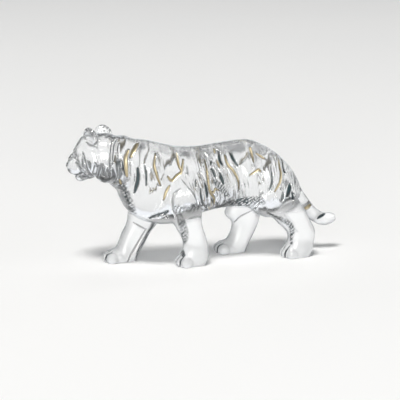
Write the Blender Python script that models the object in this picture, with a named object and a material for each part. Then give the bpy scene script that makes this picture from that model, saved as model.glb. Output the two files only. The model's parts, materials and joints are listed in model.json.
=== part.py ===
"""Walking tiger figurine: one solid casting of clear crystal with wheel-cut stripes, some of them gilded.

Lengths are in millimetres until the mesh is finished. The tiger walks towards -X, its left side faces -Y,
and it stands on the plane Z = 0 with the origin under the middle of its box.
"""

import math

import bmesh
import bpy
import numpy as np
from mathutils import Vector
from mathutils.bvhtree import BVHTree

MM = 0.001

# Trunk
BODY_LENGTH = 113.0
BODY_WIDTH = 31.0
BACK_HEIGHT = 70.2
BELLY_HEIGHT = 29.7
CHEST_FRONT_X = -50.5

# Neck and head
NECK_RADIUS = 14.0
HEAD_TURN_DEG = 32.0
HEAD_DROP_DEG = 31.0
HEAD_ROLL_DEG = 6.0
HEAD_LENGTH = 29.0
HEAD_WIDTH = 27.0
HEAD_HEIGHT = 27.0
EAR_RADIUS = 5.5
EAR_DISH = 1.6
EYE_RADIUS = 2.0

# Legs and paws
TRACK = 20.0
FORE_LEFT_X = -8.3
FORE_RIGHT_X = -47.8
HIND_LEFT_X = 58.0
HIND_RIGHT_X = 22.0
FORELEG_THICKNESS = 14.0
HINDLEG_THICKNESS = 15.0
PAW_LENGTH = 18.2
PAW_WIDTH = 13.5
PAW_HEIGHT = 8.6
TOE_RADIUS = 2.9

# Tail
TAIL_THICKNESS = 8.0
TAIL_REACH = 25.7

# Stripes
STRIPE_WIDTH = 2.2
STRIPE_DEPTH = 0.8

# Mesh
ROUGH_VOXEL = 1.0
FINE_VOXEL = 0.6
FACETS = 11500
RING_POINTS = 28


def spline(rows, count):
    """Rows of numbers, read off smoothly through the given ones (Catmull-Rom)."""
    rows = np.array(rows, float)
    padded = np.vstack([2 * rows[0] - rows[1], rows, 2 * rows[-1] - rows[-2]])
    spots = np.linspace(0, len(rows) - 1, count)
    i = np.minimum(spots.astype(int), len(rows) - 2)
    t = (spots - i)[:, None]
    a, b, c, d = (padded[i + k] for k in range(4))
    return 0.5 * (2 * b + (c - a) * t + (2 * a - 5 * b + 4 * c - d) * t**2 + (3 * b - a - 3 * c + d) * t**3)


def closed_mesh(name, rings, first, last):
    """One closed skin over rings of points, with a point at each end."""
    shape = bmesh.new()
    loops = [[shape.verts.new(p) for p in ring] for ring in rings]
    ends = shape.verts.new(first), shape.verts.new(last)
    for near, far in zip(loops, loops[1:]):
        for k in range(len(near)):
            n = (k + 1) % len(near)
            shape.faces.new((near[k], near[n], far[n], far[k]))
    for end, loop in zip(ends, (loops[0], loops[-1])):
        for k in range(len(loop)):
            shape.faces.new((end, loop[k], loop[(k + 1) % len(loop)]))
    bmesh.ops.recalc_face_normals(shape, faces=shape.faces)
    mesh = bpy.data.meshes.new(name)
    shape.to_mesh(mesh)
    shape.free()
    return mesh


def superellipse(power):
    """Points round a unit superellipse: 2 is round, and more is squarer."""
    turn = np.linspace(0, 2 * np.pi, RING_POINTS, endpoint=False)
    c, s = np.cos(turn), np.sin(turn)
    return np.sign(c) * abs(c) ** (2 / power), np.sign(s) * abs(s) ** (2 / power)


def loft(name, centres, across, upward, half_widths, half_heights, power=2.0, egg=0.0):
    """A tube through centres. Each ring lies in its own plane of across and upward; egg narrows its top."""
    c, s = superellipse(power)
    rings = []
    for k in range(len(centres)):
        width = half_widths[k] * c * (1 - egg * s)
        rings.append(centres[k] + np.outer(width, across[k]) + np.outer(half_heights[k] * s, upward[k]))
    return closed_mesh(name, rings, centres[0], centres[-1])


def tube(name, rows, count=24, power=2.0, side=(0, 1, 0)):
    """A tube along rows of (x, y, z, half thickness fore and aft, half thickness to the sides)."""
    rows = spline(rows, count)
    centres = rows[:, :3]
    along = np.gradient(centres, axis=0)
    along /= np.linalg.norm(along, axis=1)[:, None]
    across = np.array(side, float) - along * (along @ np.array(side, float))[:, None]
    across /= np.linalg.norm(across, axis=1)[:, None]
    upward = np.cross(along, across)
    return loft(name, centres, across, upward, rows[:, 4], rows[:, 3], power)


def blob(name, centre, radii, axes=((1, 0, 0), (0, 1, 0), (0, 0, 1))):
    """An ellipsoid with its radii along the three axes."""
    shape = bmesh.new()
    bmesh.ops.create_icosphere(shape, subdivisions=4, radius=1)
    turned = np.array([v.co for v in shape.verts]) * np.array(radii) @ np.array(axes, float)
    for vert, place in zip(shape.verts, turned + np.array(centre)):
        vert.co = place
    mesh = bpy.data.meshes.new(name)
    shape.to_mesh(mesh)
    shape.free()
    return mesh


def fused(name, meshes, voxel, smoothing):
    """The meshes grown into one skin by a voxel remesh, with its creases relaxed."""
    shape = bmesh.new()
    for mesh in meshes:
        shape.from_mesh(mesh)
        bpy.data.meshes.remove(mesh)
    mesh = bpy.data.meshes.new(name)
    shape.to_mesh(mesh)
    shape.free()
    holder = bpy.data.objects.new(name, mesh)
    bpy.context.scene.collection.objects.link(holder)
    remesh = holder.modifiers.new("Grow together", "REMESH")
    remesh.mode = "VOXEL"
    remesh.voxel_size = voxel
    relax = holder.modifiers.new("Relax", "SMOOTH")
    relax.factor = 0.5
    relax.iterations = smoothing
    graph = bpy.context.evaluated_depsgraph_get()
    grown = bpy.data.meshes.new_from_object(holder.evaluated_get(graph))
    bpy.data.objects.remove(holder)
    bpy.data.meshes.remove(mesh)
    return grown


# Trunk: share of the length, top and bottom as shares of the heights, half width as a share of the width
TRUNK = (
    (0.00, 0.836, 1.467, 0.14),
    (0.04, 1.028, 1.17, 0.33),
    (0.12, 1.08, 0.926, 0.46),
    (0.22, 1.044, 0.809, 0.51),
    (0.32, 1.003, 0.83, 0.5),
    (0.43, 0.993, 0.968, 0.465),
    (0.54, 1.01, 1.053, 0.45),
    (0.64, 1.026, 1.064, 0.46),
    (0.72, 1.023, 1, 0.49),
    (0.80, 0.969, 0.788, 0.51),
    (0.88, 0.882, 0.83, 0.48),
    (0.95, 0.759, 1, 0.38),
    (0.99, 0.651, 1.212, 0.22),
)


def trunk_rows():
    rows = []
    for along, top, bottom, half in TRUNK:
        x = CHEST_FRONT_X + along * BODY_LENGTH
        rows.append((x, top * BACK_HEIGHT, bottom * BELLY_HEIGHT, half * BODY_WIDTH))
    return rows


def trunk():
    rows = spline(trunk_rows(), 48)
    centres = np.stack([rows[:, 0], 0 * rows[:, 0], (rows[:, 1] + rows[:, 2]) / 2], 1)
    ones = np.ones((len(rows), 1))
    half_heights = (rows[:, 1] - rows[:, 2]) / 2
    return loft("trunk", centres, ones * [0, 1, 0], ones * [0, 0, 1], rows[:, 3], half_heights, 2.25, 0.10)


def head_frame():
    """Where the head sits on the neck, and its forward, left and crown directions."""
    turn, drop, roll = (math.radians(angle) for angle in (HEAD_TURN_DEG, HEAD_DROP_DEG, HEAD_ROLL_DEG))
    level = np.array([-math.cos(turn), math.sin(turn), 0])
    forward = math.cos(drop) * level - math.sin(drop) * np.array([0, 0, 1])
    upright = math.sin(drop) * level + math.cos(drop) * np.array([0, 0, 1])
    sideways = np.cross([0, 0, 1], level)
    left = math.cos(roll) * sideways + math.sin(roll) * upright
    crown = math.cos(roll) * upright - math.sin(roll) * sideways
    throat = np.array([CHEST_FRONT_X - 0.11 * NECK_RADIUS, 0, BACK_HEIGHT + 0.14 * NECK_RADIUS])
    return throat + 0.285 * NECK_RADIUS * level, forward, left, crown


def head_points(shares):
    """Points given along, left and up in the head, as shares of its length, half width and half height."""
    seat, forward, left, crown = head_frame()
    spots = np.array(shares, float) * (HEAD_LENGTH, HEAD_WIDTH / 2, HEAD_HEIGHT / 2)
    return seat + spots @ np.array([forward, left, crown])


# Head: share of its length, top and bottom as shares of its height, half width as a share of its width
HEAD = (
    (-0.30, 0.02, -0.35, 0.18),
    (-0.20, 0.17, -0.45, 0.33),
    (-0.08, 0.28, -0.50, 0.43),
    (0.04, 0.35, -0.52, 0.47),
    (0.16, 0.41, -0.52, 0.49),
    (0.32, 0.48, -0.48, 0.47),
    (0.50, 0.42, -0.42, 0.38),
    (0.66, 0.29, -0.37, 0.27),
    (0.80, 0.21, -0.32, 0.21),
    (0.91, 0.14, -0.25, 0.18),
    (0.965, 0.07, -0.10, 0.10),
)

# Forms of the head, each left and right: place along, out and up, then radii along, across and up, all as
# shares of its length, half width and half height. The first ones melt into the skull, the others stay crisp.
HEAD_MASSES = (
    ("nose_bridge", (0.62, 0.08, 0.31), (0.30, 0.22, 0.24)),
    ("brow", (0.50, 0.36, 0.46), (0.17, 0.28, 0.22)),
    ("cheek", (0.36, 0.56, -0.26), (0.26, 0.42, 0.56)),
    ("jaw", (0.50, 0.30, -0.55), (0.28, 0.36, 0.36)),
    ("ruff", (0.17, 0.48, -0.67), (0.30, 0.50, 0.82)),
    ("nape", (-0.08, 0.20, -0.16), (0.34, 0.60, 0.46)),
)
HEAD_DETAILS = (
    ("whisker_pad", (0.79, 0.25, -0.09), (0.18, 0.29, 0.31)),
    ("chin", (0.765, 0.10, -0.53), (0.165, 0.26, 0.26)),
    ("nose_pad", (0.93, 0.08, 0.13), (0.07, 0.17, 0.15)),
    ("cheekbone", (0.52, 0.50, 0.04), (0.14, 0.20, 0.20)),
)


def head():
    rows = spline(HEAD, 30)
    seat, forward, left, crown = head_frame()
    middle = (rows[:, 1] + rows[:, 2]) / 2 * HEAD_HEIGHT
    centres = seat + np.outer(rows[:, 0] * HEAD_LENGTH, forward) + np.outer(middle, crown)
    ones = np.ones((len(rows), 1))
    half_heights = (rows[:, 1] - rows[:, 2]) / 2 * HEAD_HEIGHT
    return loft("head", centres, ones * left, ones * crown, rows[:, 3] * HEAD_WIDTH, half_heights, 2.2)


def head_forms(forms):
    seat, forward, left, crown = head_frame()
    size = np.array([HEAD_LENGTH, HEAD_WIDTH / 2, HEAD_HEIGHT / 2])
    meshes = []
    for name, place, radii in forms:
        for side in (-1, 1):
            spot = head_points([(place[0], side * place[1], place[2])])[0]
            meshes.append(blob(name, spot, size * radii, (forward, left, crown)))
    return meshes


def eyes():
    spots = head_points([(0.615, 0.40, 0.31), (0.615, -0.40, 0.31)])
    return [blob("eye", spot, (EYE_RADIUS,) * 3) for spot in spots]


def ear(side):
    """A round cupped ear: a flattened ball with its front pushed in."""
    seat, forward, left, crown = head_frame()
    out = side * left
    face = 0.42 * forward + 0.90 * out + 0.1 * crown
    face /= np.linalg.norm(face)
    up = crown + 0.25 * out + 0.10 * forward
    up -= face * (up @ face)
    up /= np.linalg.norm(up)
    across = np.cross(face, up)
    shape = bmesh.new()
    bmesh.ops.create_icosphere(shape, subdivisions=5, radius=1)
    spot = head_points([(0.105, side * 0.72, 0.62)])[0]
    for vert in shape.verts:
        x, y, z = vert.co
        rim = x * x + z * z
        depth = 0.46 * EAR_RADIUS * y
        if y > 0:
            depth -= EAR_DISH * max(0, 1 - rim / 0.80)
        vert.co = spot + EAR_RADIUS * (0.95 * x * across + 1.12 * z * up) + depth * face
    mesh = bpy.data.meshes.new("ear")
    shape.to_mesh(mesh)
    shape.free()
    return mesh


def neck():
    seat, forward, left, crown = head_frame()
    nape = seat - 0.07 * NECK_RADIUS * (forward + crown)
    r = NECK_RADIUS
    rows = [
        (CHEST_FRONT_X + 0.212 * BODY_LENGTH, 0, 0.70 * BACK_HEIGHT, 1.36 * r, 1.00 * r),
        (CHEST_FRONT_X + 0.106 * BODY_LENGTH, 0, 0.83 * BACK_HEIGHT, 1.27 * r, 1.00 * r),
        (CHEST_FRONT_X + 0.027 * BODY_LENGTH, 0.03 * r, 0.915 * BACK_HEIGHT, 1.10 * r, 0.96 * r),
        (*nape, 0.76 * r, 0.89 * r),
    ]
    return tube("neck", rows)


def leg(name, side, foot_x, root_z, thickness, rows):
    """A leg in level sections, from its root in the trunk down to the sole."""
    rows = spline(rows, 36)
    half_track = side * TRACK / 2
    centres = np.stack([foot_x + rows[:, 1] * thickness, rows[:, 4] * half_track, rows[:, 0] * root_z], 1)
    ones = np.ones((len(rows), 1))
    half_widths, half_lengths = rows[:, 3] * thickness, rows[:, 2] * thickness
    return loft(name, centres, ones * [0, 1, 0], ones * [1, 0, 0], half_widths, half_lengths, 2.6)


# Paws: name, side, place fore and aft, and how far the toes turn out
PAWS = (
    ("fore_left_paw", -1, FORE_LEFT_X, 6),
    ("fore_right_paw", 1, FORE_RIGHT_X, 6),
    ("hind_left_paw", -1, HIND_LEFT_X, 4),
    ("hind_right_paw", 1, HIND_RIGHT_X, 4),
)


def paw_axes(side, toe_out_deg):
    turn = math.radians(toe_out_deg) * side
    return np.array([-math.cos(turn), math.sin(turn), 0]), np.array([math.sin(turn), math.cos(turn), 0])


def paw(name, side, foot_x, toe_out_deg):
    """A flat pad with four toes in front."""
    ahead, outward = paw_axes(side, toe_out_deg)
    up = np.array([0, 0, 1])
    centre = np.array([foot_x, side * TRACK / 2, 0])
    axes = (ahead, outward, up)
    radii = (PAW_LENGTH * 0.42, PAW_WIDTH * 0.48, PAW_HEIGHT * 0.60)
    meshes = [blob(name + "_pad", centre + 0.36 * PAW_HEIGHT * up, radii, axes)]
    reach = PAW_LENGTH / 2 - TOE_RADIUS
    for k, (ahead_share, across) in enumerate(((0.66, -0.345), (0.98, -0.12), (0.98, 0.12), (0.66, 0.345))):
        spot = centre + ahead_share * reach * ahead + across * PAW_WIDTH * outward + TOE_RADIUS * 0.85 * up
        toe = (TOE_RADIUS * 1.35, TOE_RADIUS * 0.88, TOE_RADIUS * 1.25)
        meshes.append(blob(f"{name}_toe_{k}", spot, toe, axes))
    return meshes


# Leg rows: share of the root's height, lean of the middle from the foot, half thickness fore and aft, half
# thickness sideways (all three as shares of the leg's thickness), and the share of the half track.
FORE_LEFT = (
    (1, -0.95, 0.84, 0.38, 0.80),
    (0.855, -0.80, 0.97, 0.46, 0.88),
    (0.742, -0.62, 0.97, 0.49, 0.94),
    (0.628, -0.38, 0.84, 0.49, 0.98),
    (0.52, -0.22, 0.65, 0.47, 1.0),
    (0.416, -0.09, 0.58, 0.45, 1.0),
    (0.282, 0.14, 0.525, 0.43, 1.0),
    (0.179, 0.17, 0.56, 0.43, 1.0),
    (0.101, 0.10, 0.66, 0.46, 1.0),
    (0.034, 0.05, 0.64, 0.46, 1.0),
    (-0.03, 0.02, 0.54, 0.40, 1.0),
)
FORE_RIGHT = (
    (1, 1.45, 0.84, 0.38, 0.80),
    (0.855, 1.42, 0.94, 0.46, 0.88),
    (0.742, 1.4, 0.94, 0.48, 0.94),
    (0.587, 1.24, 0.82, 0.48, 0.98),
    (0.416, 1.02, 0.69, 0.46, 1.0),
    (0.308, 0.74, 0.63, 0.44, 1.0),
    (0.189, 0.52, 0.59, 0.43, 1.0),
    (0.111, 0.34, 0.6, 0.44, 1.0),
    (0.049, 0.16, 0.62, 0.46, 1.0),
    (-0.03, 0.18, 0.54, 0.40, 1.0),
)
HIND_LEFT = (
    (1, -1.05, 0.84, 0.40, 0.80),
    (0.845, -1.05, 0.96, 0.48, 0.90),
    (0.69, -0.84, 0.86, 0.52, 0.97),
    (0.545, -0.44, 0.78, 0.50, 1.0),
    (0.408, -0.12, 0.71, 0.46, 1.0),
    (0.302, 0.17, 0.61, 0.43, 1.0),
    (0.204, 0.21, 0.55, 0.42, 1.0),
    (0.095, 0.07, 0.64, 0.44, 1.0),
    (0.028, 0.02, 0.64, 0.44, 1.0),
    (-0.03, 0.0, 0.54, 0.40, 1.0),
)
HIND_RIGHT = (
    (1, 1.45, 0.84, 0.40, 0.80),
    (0.845, 1.30, 1.04, 0.48, 0.90),
    (0.69, 1.05, 1.04, 0.50, 0.96),
    (0.555, 0.80, 0.9, 0.48, 1.0),
    (0.449, 0.55, 0.78, 0.45, 1.0),
    (0.349, 0.65, 0.57, 0.42, 1.0),
    (0.239, 0.55, 0.51, 0.41, 1.0),
    (0.152, 0.39, 0.51, 0.42, 1.0),
    (0.08, 0.22, 0.55, 0.43, 1.0),
    (-0.03, 0.12, 0.5, 0.40, 1.0),
)


def legs():
    fore_z = 0.772 * BACK_HEIGHT
    hind_z = 0.758 * BACK_HEIGHT
    return [
        leg("fore_left", -1, FORE_LEFT_X, fore_z, FORELEG_THICKNESS, FORE_LEFT),
        leg("fore_right", 1, FORE_RIGHT_X, fore_z, FORELEG_THICKNESS, FORE_RIGHT),
        leg("hind_left", -1, HIND_LEFT_X, hind_z, HINDLEG_THICKNESS, HIND_LEFT),
        leg("hind_right", 1, HIND_RIGHT_X, hind_z, HINDLEG_THICKNESS, HIND_RIGHT),
    ]


def tail():
    rump_x = CHEST_FRONT_X + BODY_LENGTH
    r = TAIL_THICKNESS / 2
    rows = [
        (rump_x - 0.47 * TAIL_REACH, 0, 0.754 * BACK_HEIGHT, 1.3 * r, 1.3 * r),
        (rump_x - 0.22 * TAIL_REACH, 0, 0.621 * BACK_HEIGHT, 1.15 * r, 1.15 * r),
        (rump_x + 0.04 * TAIL_REACH, 0, 0.477 * BACK_HEIGHT, 1.05 * r, 1.05 * r),
        (rump_x + 0.33 * TAIL_REACH, 0, 0.344 * BACK_HEIGHT, 1.02 * r, 1.0 * r),
        (rump_x + 0.62 * TAIL_REACH, 0, 0.272 * BACK_HEIGHT, 1.04 * r, 1.0 * r),
        (rump_x + 0.86 * TAIL_REACH, 0, 0.277 * BACK_HEIGHT, 0.88 * r, 0.9 * r),
        (rump_x + 0.97 * TAIL_REACH, 0, 0.28 * BACK_HEIGHT, 0.55 * r, 0.55 * r),
    ]
    return tube("tail", rows, 34)


# Muscles that stand out a little on the trunk and legs, each left and right: place as shares of the trunk's
# length, width and height, and radii as shares of the same
MUSCLES = (
    ("shoulder_blade", (0.16, 0.26, 0.80), (0.080, 0.250, 0.210)),
    ("upper_arm", (0.27, 0.30, 0.60), (0.085, 0.225, 0.190)),
    ("haunch", (0.80, 0.27, 0.66), (0.105, 0.265, 0.260)),
    ("rump", (0.87, 0.24, 0.62), (0.060, 0.220, 0.170)),
)


def muscles():
    meshes = []
    for name, (along, out, up), radii in MUSCLES:
        for side in (-1, 1):
            spot = (CHEST_FRONT_X + along * BODY_LENGTH, side * out * BODY_WIDTH, up * BACK_HEIGHT)
            meshes.append(blob(name, spot, np.array(radii) * (BODY_LENGTH, BODY_WIDTH, BACK_HEIGHT)))
    return meshes


def masses():
    """The large forms, grown together with soft hollows between them."""
    pieces = [trunk(), neck(), head(), tail(), *legs(), *muscles(), *head_forms(HEAD_MASSES)]
    return fused("masses", pieces, ROUGH_VOXEL, 8)


def modelled():
    """The large forms with the crisper forms of the face on them."""
    return fused("modelled", [masses(), *head_forms(HEAD_DETAILS)], FINE_VOXEL, 4)


def tiger():
    """The whole animal, with its ears, eyes and paws."""
    pieces = [modelled(), ear(-1), ear(1), *eyes()]
    for place in PAWS:
        pieces += paw(*place)
    return fused("tiger", pieces, FINE_VOXEL, 2)


# Stripes cut in each flank: gilded or not, width as a share, and the line that each follows, as shares of the
# trunk's length behind the chest and of the back's height
STRIPES = (
    (True, 1.5, ((0.100, 1.070), (0.065, 1.020), (0.045, 0.970))),
    (True, 1.4, ((0.040, 1.030), (0.020, 0.965), (0.020, 0.880), (0.025, 0.805))),
    (True, 0.9, ((-0.010, 0.780), (0.000, 0.730))),
    (True, 1.0, ((0.180, 0.990), (0.165, 0.905), (0.175, 0.820), (0.195, 0.725))),
    (True, 1.0, ((0.300, 0.975), (0.300, 0.885), (0.315, 0.825))),
    (True, 1.1, ((0.330, 0.920), (0.310, 0.825), (0.285, 0.795), (0.255, 0.760), (0.235, 0.795))),
    (True, 1.0, ((0.245, 0.720), (0.225, 0.670), (0.210, 0.600))),
    (True, 1.0,
     ((0.445, 0.910), (0.450, 0.825), (0.455, 0.735), (0.465, 0.640), (0.490, 0.570), (0.495, 0.51))),
    (True, 0.8, ((0.470, 0.645), (0.485, 0.625), (0.495, 0.655), (0.515, 0.640))),
    (True, 0.8, ((0.510, 0.985), (0.505, 0.950))),
    (True, 0.8, ((0.510, 0.895), (0.520, 0.835))),
    (True, 1.0, ((0.555, 0.935), (0.565, 0.860), (0.595, 0.800), (0.615, 0.735), (0.625, 0.635))),
    (True, 1.0, ((0.700, 0.985), (0.700, 0.955), (0.705, 0.865))),
    (True, 0.9, ((0.725, 0.935), (0.770, 0.885))),
    (True, 0.9, ((0.680, 0.760), (0.705, 0.780), (0.730, 0.805), (0.740, 0.780))),
    (True, 1.1, ((0.855, 0.900), (0.850, 0.830), (0.855, 0.755), (0.845, 0.680), (0.815, 0.610))),
    (True, 1.4, ((1.070, 0.425), (1.045, 0.400), (1.025, 0.380))),
    (False, 1.3, ((0.080, 0.880), (0.080, 0.775), (0.065, 0.670))),
    (False, 0.7, ((0.115, 0.900), (0.120, 0.820), (0.120, 0.730))),
    (False, 0.7, ((0.385, 0.750), (0.385, 0.690))),
    (False, 0.9, ((0.410, 0.670), (0.415, 0.600), (0.435, 0.520))),
    (False, 0.9, ((0.435, 0.715), (0.445, 0.650), (0.450, 0.585))),
    (False, 0.8, ((0.480, 0.895), (0.475, 0.865))),
    (False, 1.1, ((0.475, 0.835), (0.485, 0.805), (0.495, 0.760))),
    (False, 0.8, ((0.525, 0.970), (0.525, 0.895), (0.540, 0.845))),
    (False, 1.1, ((0.520, 0.785), (0.530, 0.740), (0.540, 0.695))),
    (False, 1.0, ((0.585, 0.950), (0.600, 0.890), (0.620, 0.840))),
    (False, 0.8, ((0.795, 0.835), (0.800, 0.710), (0.785, 0.625))),
    (False, 0.9, ((0.880, 0.860), (0.875, 0.810), (0.880, 0.745))),
    (False, 1.4, ((0.905, 0.660), (0.895, 0.610), (0.880, 0.555))),
    (False, 1.1, ((0.915, 0.590), (0.920, 0.560), (0.915, 0.525))),
    (False, 0.8, ((0.860, 0.600), (0.850, 0.525))),
    (False, 1.0, ((1.155, 0.325), (1.125, 0.310), (1.105, 0.290))),
)

# Folds of the skin: side, width and depth as shares of a stripe's, and the line as for the stripes
FOLDS = (
    (-1, 0.6, 0.8, ((-0.045, 1.105), (-0.055, 1.035), (-0.060, 0.955), (-0.060, 0.870))),
    (-1, 0.7, 0.9, ((-0.010, 1.125), (-0.035, 1.075), (-0.045, 0.995), (-0.050, 0.920))),
    (-1, 0.9, 0.7, ((-0.010, 1.085), (-0.020, 1.035), (-0.020, 0.975))),
    (-1, 0.8, 0.9, ((0.000, 0.950), (0.005, 0.885), (0.015, 0.815))),
    (-1, 3.0, 0.9, ((0.320, 0.805), (0.345, 0.720), (0.375, 0.630), (0.395, 0.525))),
    (-1, 1.3, 0.9,
     ((0.300, 0.685), (0.270, 0.655), (0.260, 0.600), (0.265, 0.535), (0.295, 0.40), (0.35, 0.24))),
    (-1, 5.0, 1.7, ((0.555, 0.760), (0.570, 0.660), (0.585, 0.560))),
    (1, 5.0, 1.7, ((0.555, 0.760), (0.570, 0.660), (0.585, 0.560))),
    (-1, 1.2, 1.0, ((0.015, 0.720), (0.025, 0.640), (0.045, 0.560))),
    (1, 1.2, 1.0, ((0.015, 0.720), (0.025, 0.640), (0.045, 0.560))),
    (-1, 0.8, 0.9, ((0.520, 0.460), (0.600, 0.545))),
    (-1, 0.8, 0.9, ((0.550, 0.450), (0.645, 0.555))),
    (-1, 0.8, 0.9, ((0.585, 0.450), (0.690, 0.555))),
    (-1, 0.8, 0.9, ((0.625, 0.455), (0.710, 0.540))),
    (1, 3.0, 0.9, ((0.220, 0.805), (0.245, 0.720), (0.270, 0.630), (0.275, 0.525))),
    (-1, 0.9, 0.8, ((0.145, 0.430), (0.175, 0.460), (0.210, 0.475), (0.235, 0.500))),
    (-1, 1.6, 0.7, ((0.870, 0.400), (0.910, 0.320), (0.945, 0.235))),
    (-1, 0.9, 0.5, ((0.340, 0.425), (0.365, 0.430), (0.395, 0.435))),
    (-1, 1.1, 0.9, ((0.160, 0.285), (0.115, 0.165), (0.080, 0.075), (0.055, 0.000))),
    (-1, 0.8, 0.6, ((0.090, 0.350), (0.125, 0.315), (0.155, 0.285))),
    (-1, 0.8, 0.6, ((0.655, 0.275), (0.680, 0.330), (0.745, 0.380))),
)


# Grooves in the face: width and depth as shares of a stripe's, whether there is a right and a left one, and
# the line along, out and up in the head
FACE_GROOVES = (
    (0.70, 1.2, True, ((0.90, 0.0, -0.26), (0.83, 0.24, -0.42), (0.70, 0.42, -0.44), (0.58, 0.52, -0.50))),
    (0.90, 1.1, True,
     ((0.71, 0.31, 0.44), (0.66, 0.55, 0.17), (0.58, 0.75, -0.09), (0.55, 0.81, -0.47), (0.54, 0.6, -0.8))),
    (0.75, 1.0, True, ((0.70, 0.54, 0.04), (0.67, 0.58, -0.38), (0.59, 0.67, -0.67))),
    (0.90, 0.9, True, ((0.37, 0.90, 0.26), (0.40, 1.00, -0.18), (0.47, 0.87, -0.61), (0.51, 0.52, -0.87))),
    (2.40, 0.9, True, ((0.11, 1.01, 0.10), (0.16, 1.01, -0.35), (0.17, 1.02, -0.65))),
    (1.00, 1.2, True,
     ((0.37, 0.80, -1.03), (0.24, 1.00, -0.81), (0.11, 1.01, -0.61), (0.12, 1.01, -0.84), (0.2, 0.94, -1.1))),
    (1.00, 1.1, True, ((0.13, 0.98, -0.95), (0.18, 0.89, -1.23))),
    (1.00, 1.1, True, ((0.05, 0.95, -0.95), (0.10, 0.84, -1.27))),
    (0.80, 0.9, True, ((0.21, 0.79, 0.58), (0.15, 0.89, 0.37), (0.05, 0.93, 0.24), (-0.04, 0.78, 0.30))),
    (0.65, 1.0, True, ((0.71, 0.28, 0.26), (0.64, 0.46, 0.20), (0.56, 0.56, 0.32))),
    (0.65, 1.0, True, ((0.71, 0.26, 0.36), (0.63, 0.40, 0.48), (0.54, 0.52, 0.44))),
    (0.55, 1.0, True, ((0.97, 0.16, 0.12), (0.93, 0.24, 0.14))),
    (0.55, 1.0, False, ((0.98, 0.0, 0.06), (0.95, 0.0, -0.12), (0.90, 0.0, -0.26))),
)


def stripe_line(tree, side, marks):
    """Close points along one stripe, drawn on one side as it is seen squarely from that side."""
    line = []
    for along, up in spline(marks, 12 * len(marks)):
        x, z = CHEST_FRONT_X + along * BODY_LENGTH, up * BACK_HEIGHT
        spot = tree.ray_cast(Vector((x, side * BODY_WIDTH, z)), Vector((0, -side, 0)))[0]
        line.append(spot or tree.find_nearest(Vector((x, 0, z)))[0])
    return np.array(line)


def face_line(tree, side, marks):
    marks = np.array(marks) * (1, side, 1)
    guesses = head_points(spline(marks, 12 * len(marks)))
    return np.array([tree.find_nearest(Vector(p))[0] for p in guesses])


def toe_lines():
    """The clefts between the toes of every paw, from the top of the paw down its front."""
    lines = []
    for _, side, foot_x, toe_out_deg in PAWS:
        ahead, outward = paw_axes(side, toe_out_deg)
        centre = np.array([foot_x, side * TRACK / 2, 0])
        for across in (-0.23, 0.0, 0.23):
            reach = PAW_LENGTH * (0.52 - 0.9 * across * across)
            back, brow = reach - 0.20 * PAW_LENGTH, reach - 0.05 * PAW_LENGTH
            cleft = centre + across * PAW_WIDTH * outward
            spots = ((back, 0.84), (brow, 0.60), (reach, 0.25), (reach, -0.1))
            lines.append([cleft + a * ahead + (0, 0, u * PAW_HEIGHT) for a, u in spots])
    return lines


def leaf(count):
    """How wide a stripe is along its length: pointed at both ends and full in the middle."""
    return np.sin(np.linspace(0.10, 0.90, count) * np.pi) ** 0.55


def cut(points, line, half_width, depth, soft=False):
    """How far each point sinks for a groove along a line: round with crisp edges, or a soft hollow."""
    sunk = np.zeros(len(points))
    low, high = line.min(0) - half_width, line.max(0) + half_width
    near = np.flatnonzero(((points > low) & (points < high)).all(1))
    if len(near):
        gaps = np.linalg.norm(points[near, None] - line[None], axis=2) / leaf(len(line))
        share = np.clip(1 - gaps.min(1) / half_width, 0, 1)
        sunk[near] = depth * share * (share * (3 - 2 * share) if soft else 2 - share)
    return sunk


def tree_of(mesh):
    return BVHTree.FromPolygons([v.co for v in mesh.vertices], [tuple(p.vertices) for p in mesh.polygons])


def all_grooves(tree):
    """Every groove's line on the surface, its width and depth as shares of a stripe's, and if it is soft."""
    grooves = []
    for side in (-1, 1):
        for gilded, share, marks in STRIPES:
            grooves.append((stripe_line(tree, side, marks), share, 1.0, False))
        for share, deep, paired, marks in FACE_GROOVES:
            if paired or side == 1:
                grooves.append((face_line(tree, side, marks), share, deep, share > 1.5))
    for side, share, deep, marks in FOLDS:
        grooves.append((stripe_line(tree, side, marks), share, deep, share > 1.5))
    for rows in toe_lines():
        line = np.array([tree.find_nearest(Vector(p))[0] for p in spline(rows, 30)])
        grooves.append((line, 0.6, 1.1, False))
    return grooves


def engrave(mesh):
    """Sink the stripes, the lines of the face and the clefts between the toes."""
    points = np.empty(3 * len(mesh.vertices))
    mesh.vertices.foreach_get("co", points)
    points = points.reshape(-1, 3)
    normals = np.array([v.normal for v in mesh.vertices])
    sunk = np.zeros(len(points))
    for line, share, deep, soft in all_grooves(tree_of(mesh)):
        sunk = np.maximum(sunk, cut(points, line, share * STRIPE_WIDTH / 2, deep * STRIPE_DEPTH, soft))
    points -= normals * sunk[:, None]
    mesh.vertices.foreach_set("co", points.ravel())
    mesh.update()


def cut_level(mesh):
    """Cut the soles off flat at the ground and close them."""
    shape = bmesh.new()
    shape.from_mesh(mesh)
    geometry = shape.verts[:] + shape.edges[:] + shape.faces[:]
    cut_edges = bmesh.ops.bisect_plane(
        shape, geom=geometry, dist=0.01, plane_co=(0, 0, 0), plane_no=(0, 0, -1), clear_outer=True
    )["geom_cut"]
    edges = [e for e in cut_edges if isinstance(e, bmesh.types.BMEdge)]
    bmesh.ops.holes_fill(shape, edges=edges, sides=0)
    bmesh.ops.triangulate(shape, faces=shape.faces[:])
    bmesh.ops.recalc_face_normals(shape, faces=shape.faces[:])
    shape.to_mesh(mesh)
    shape.free()


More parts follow.
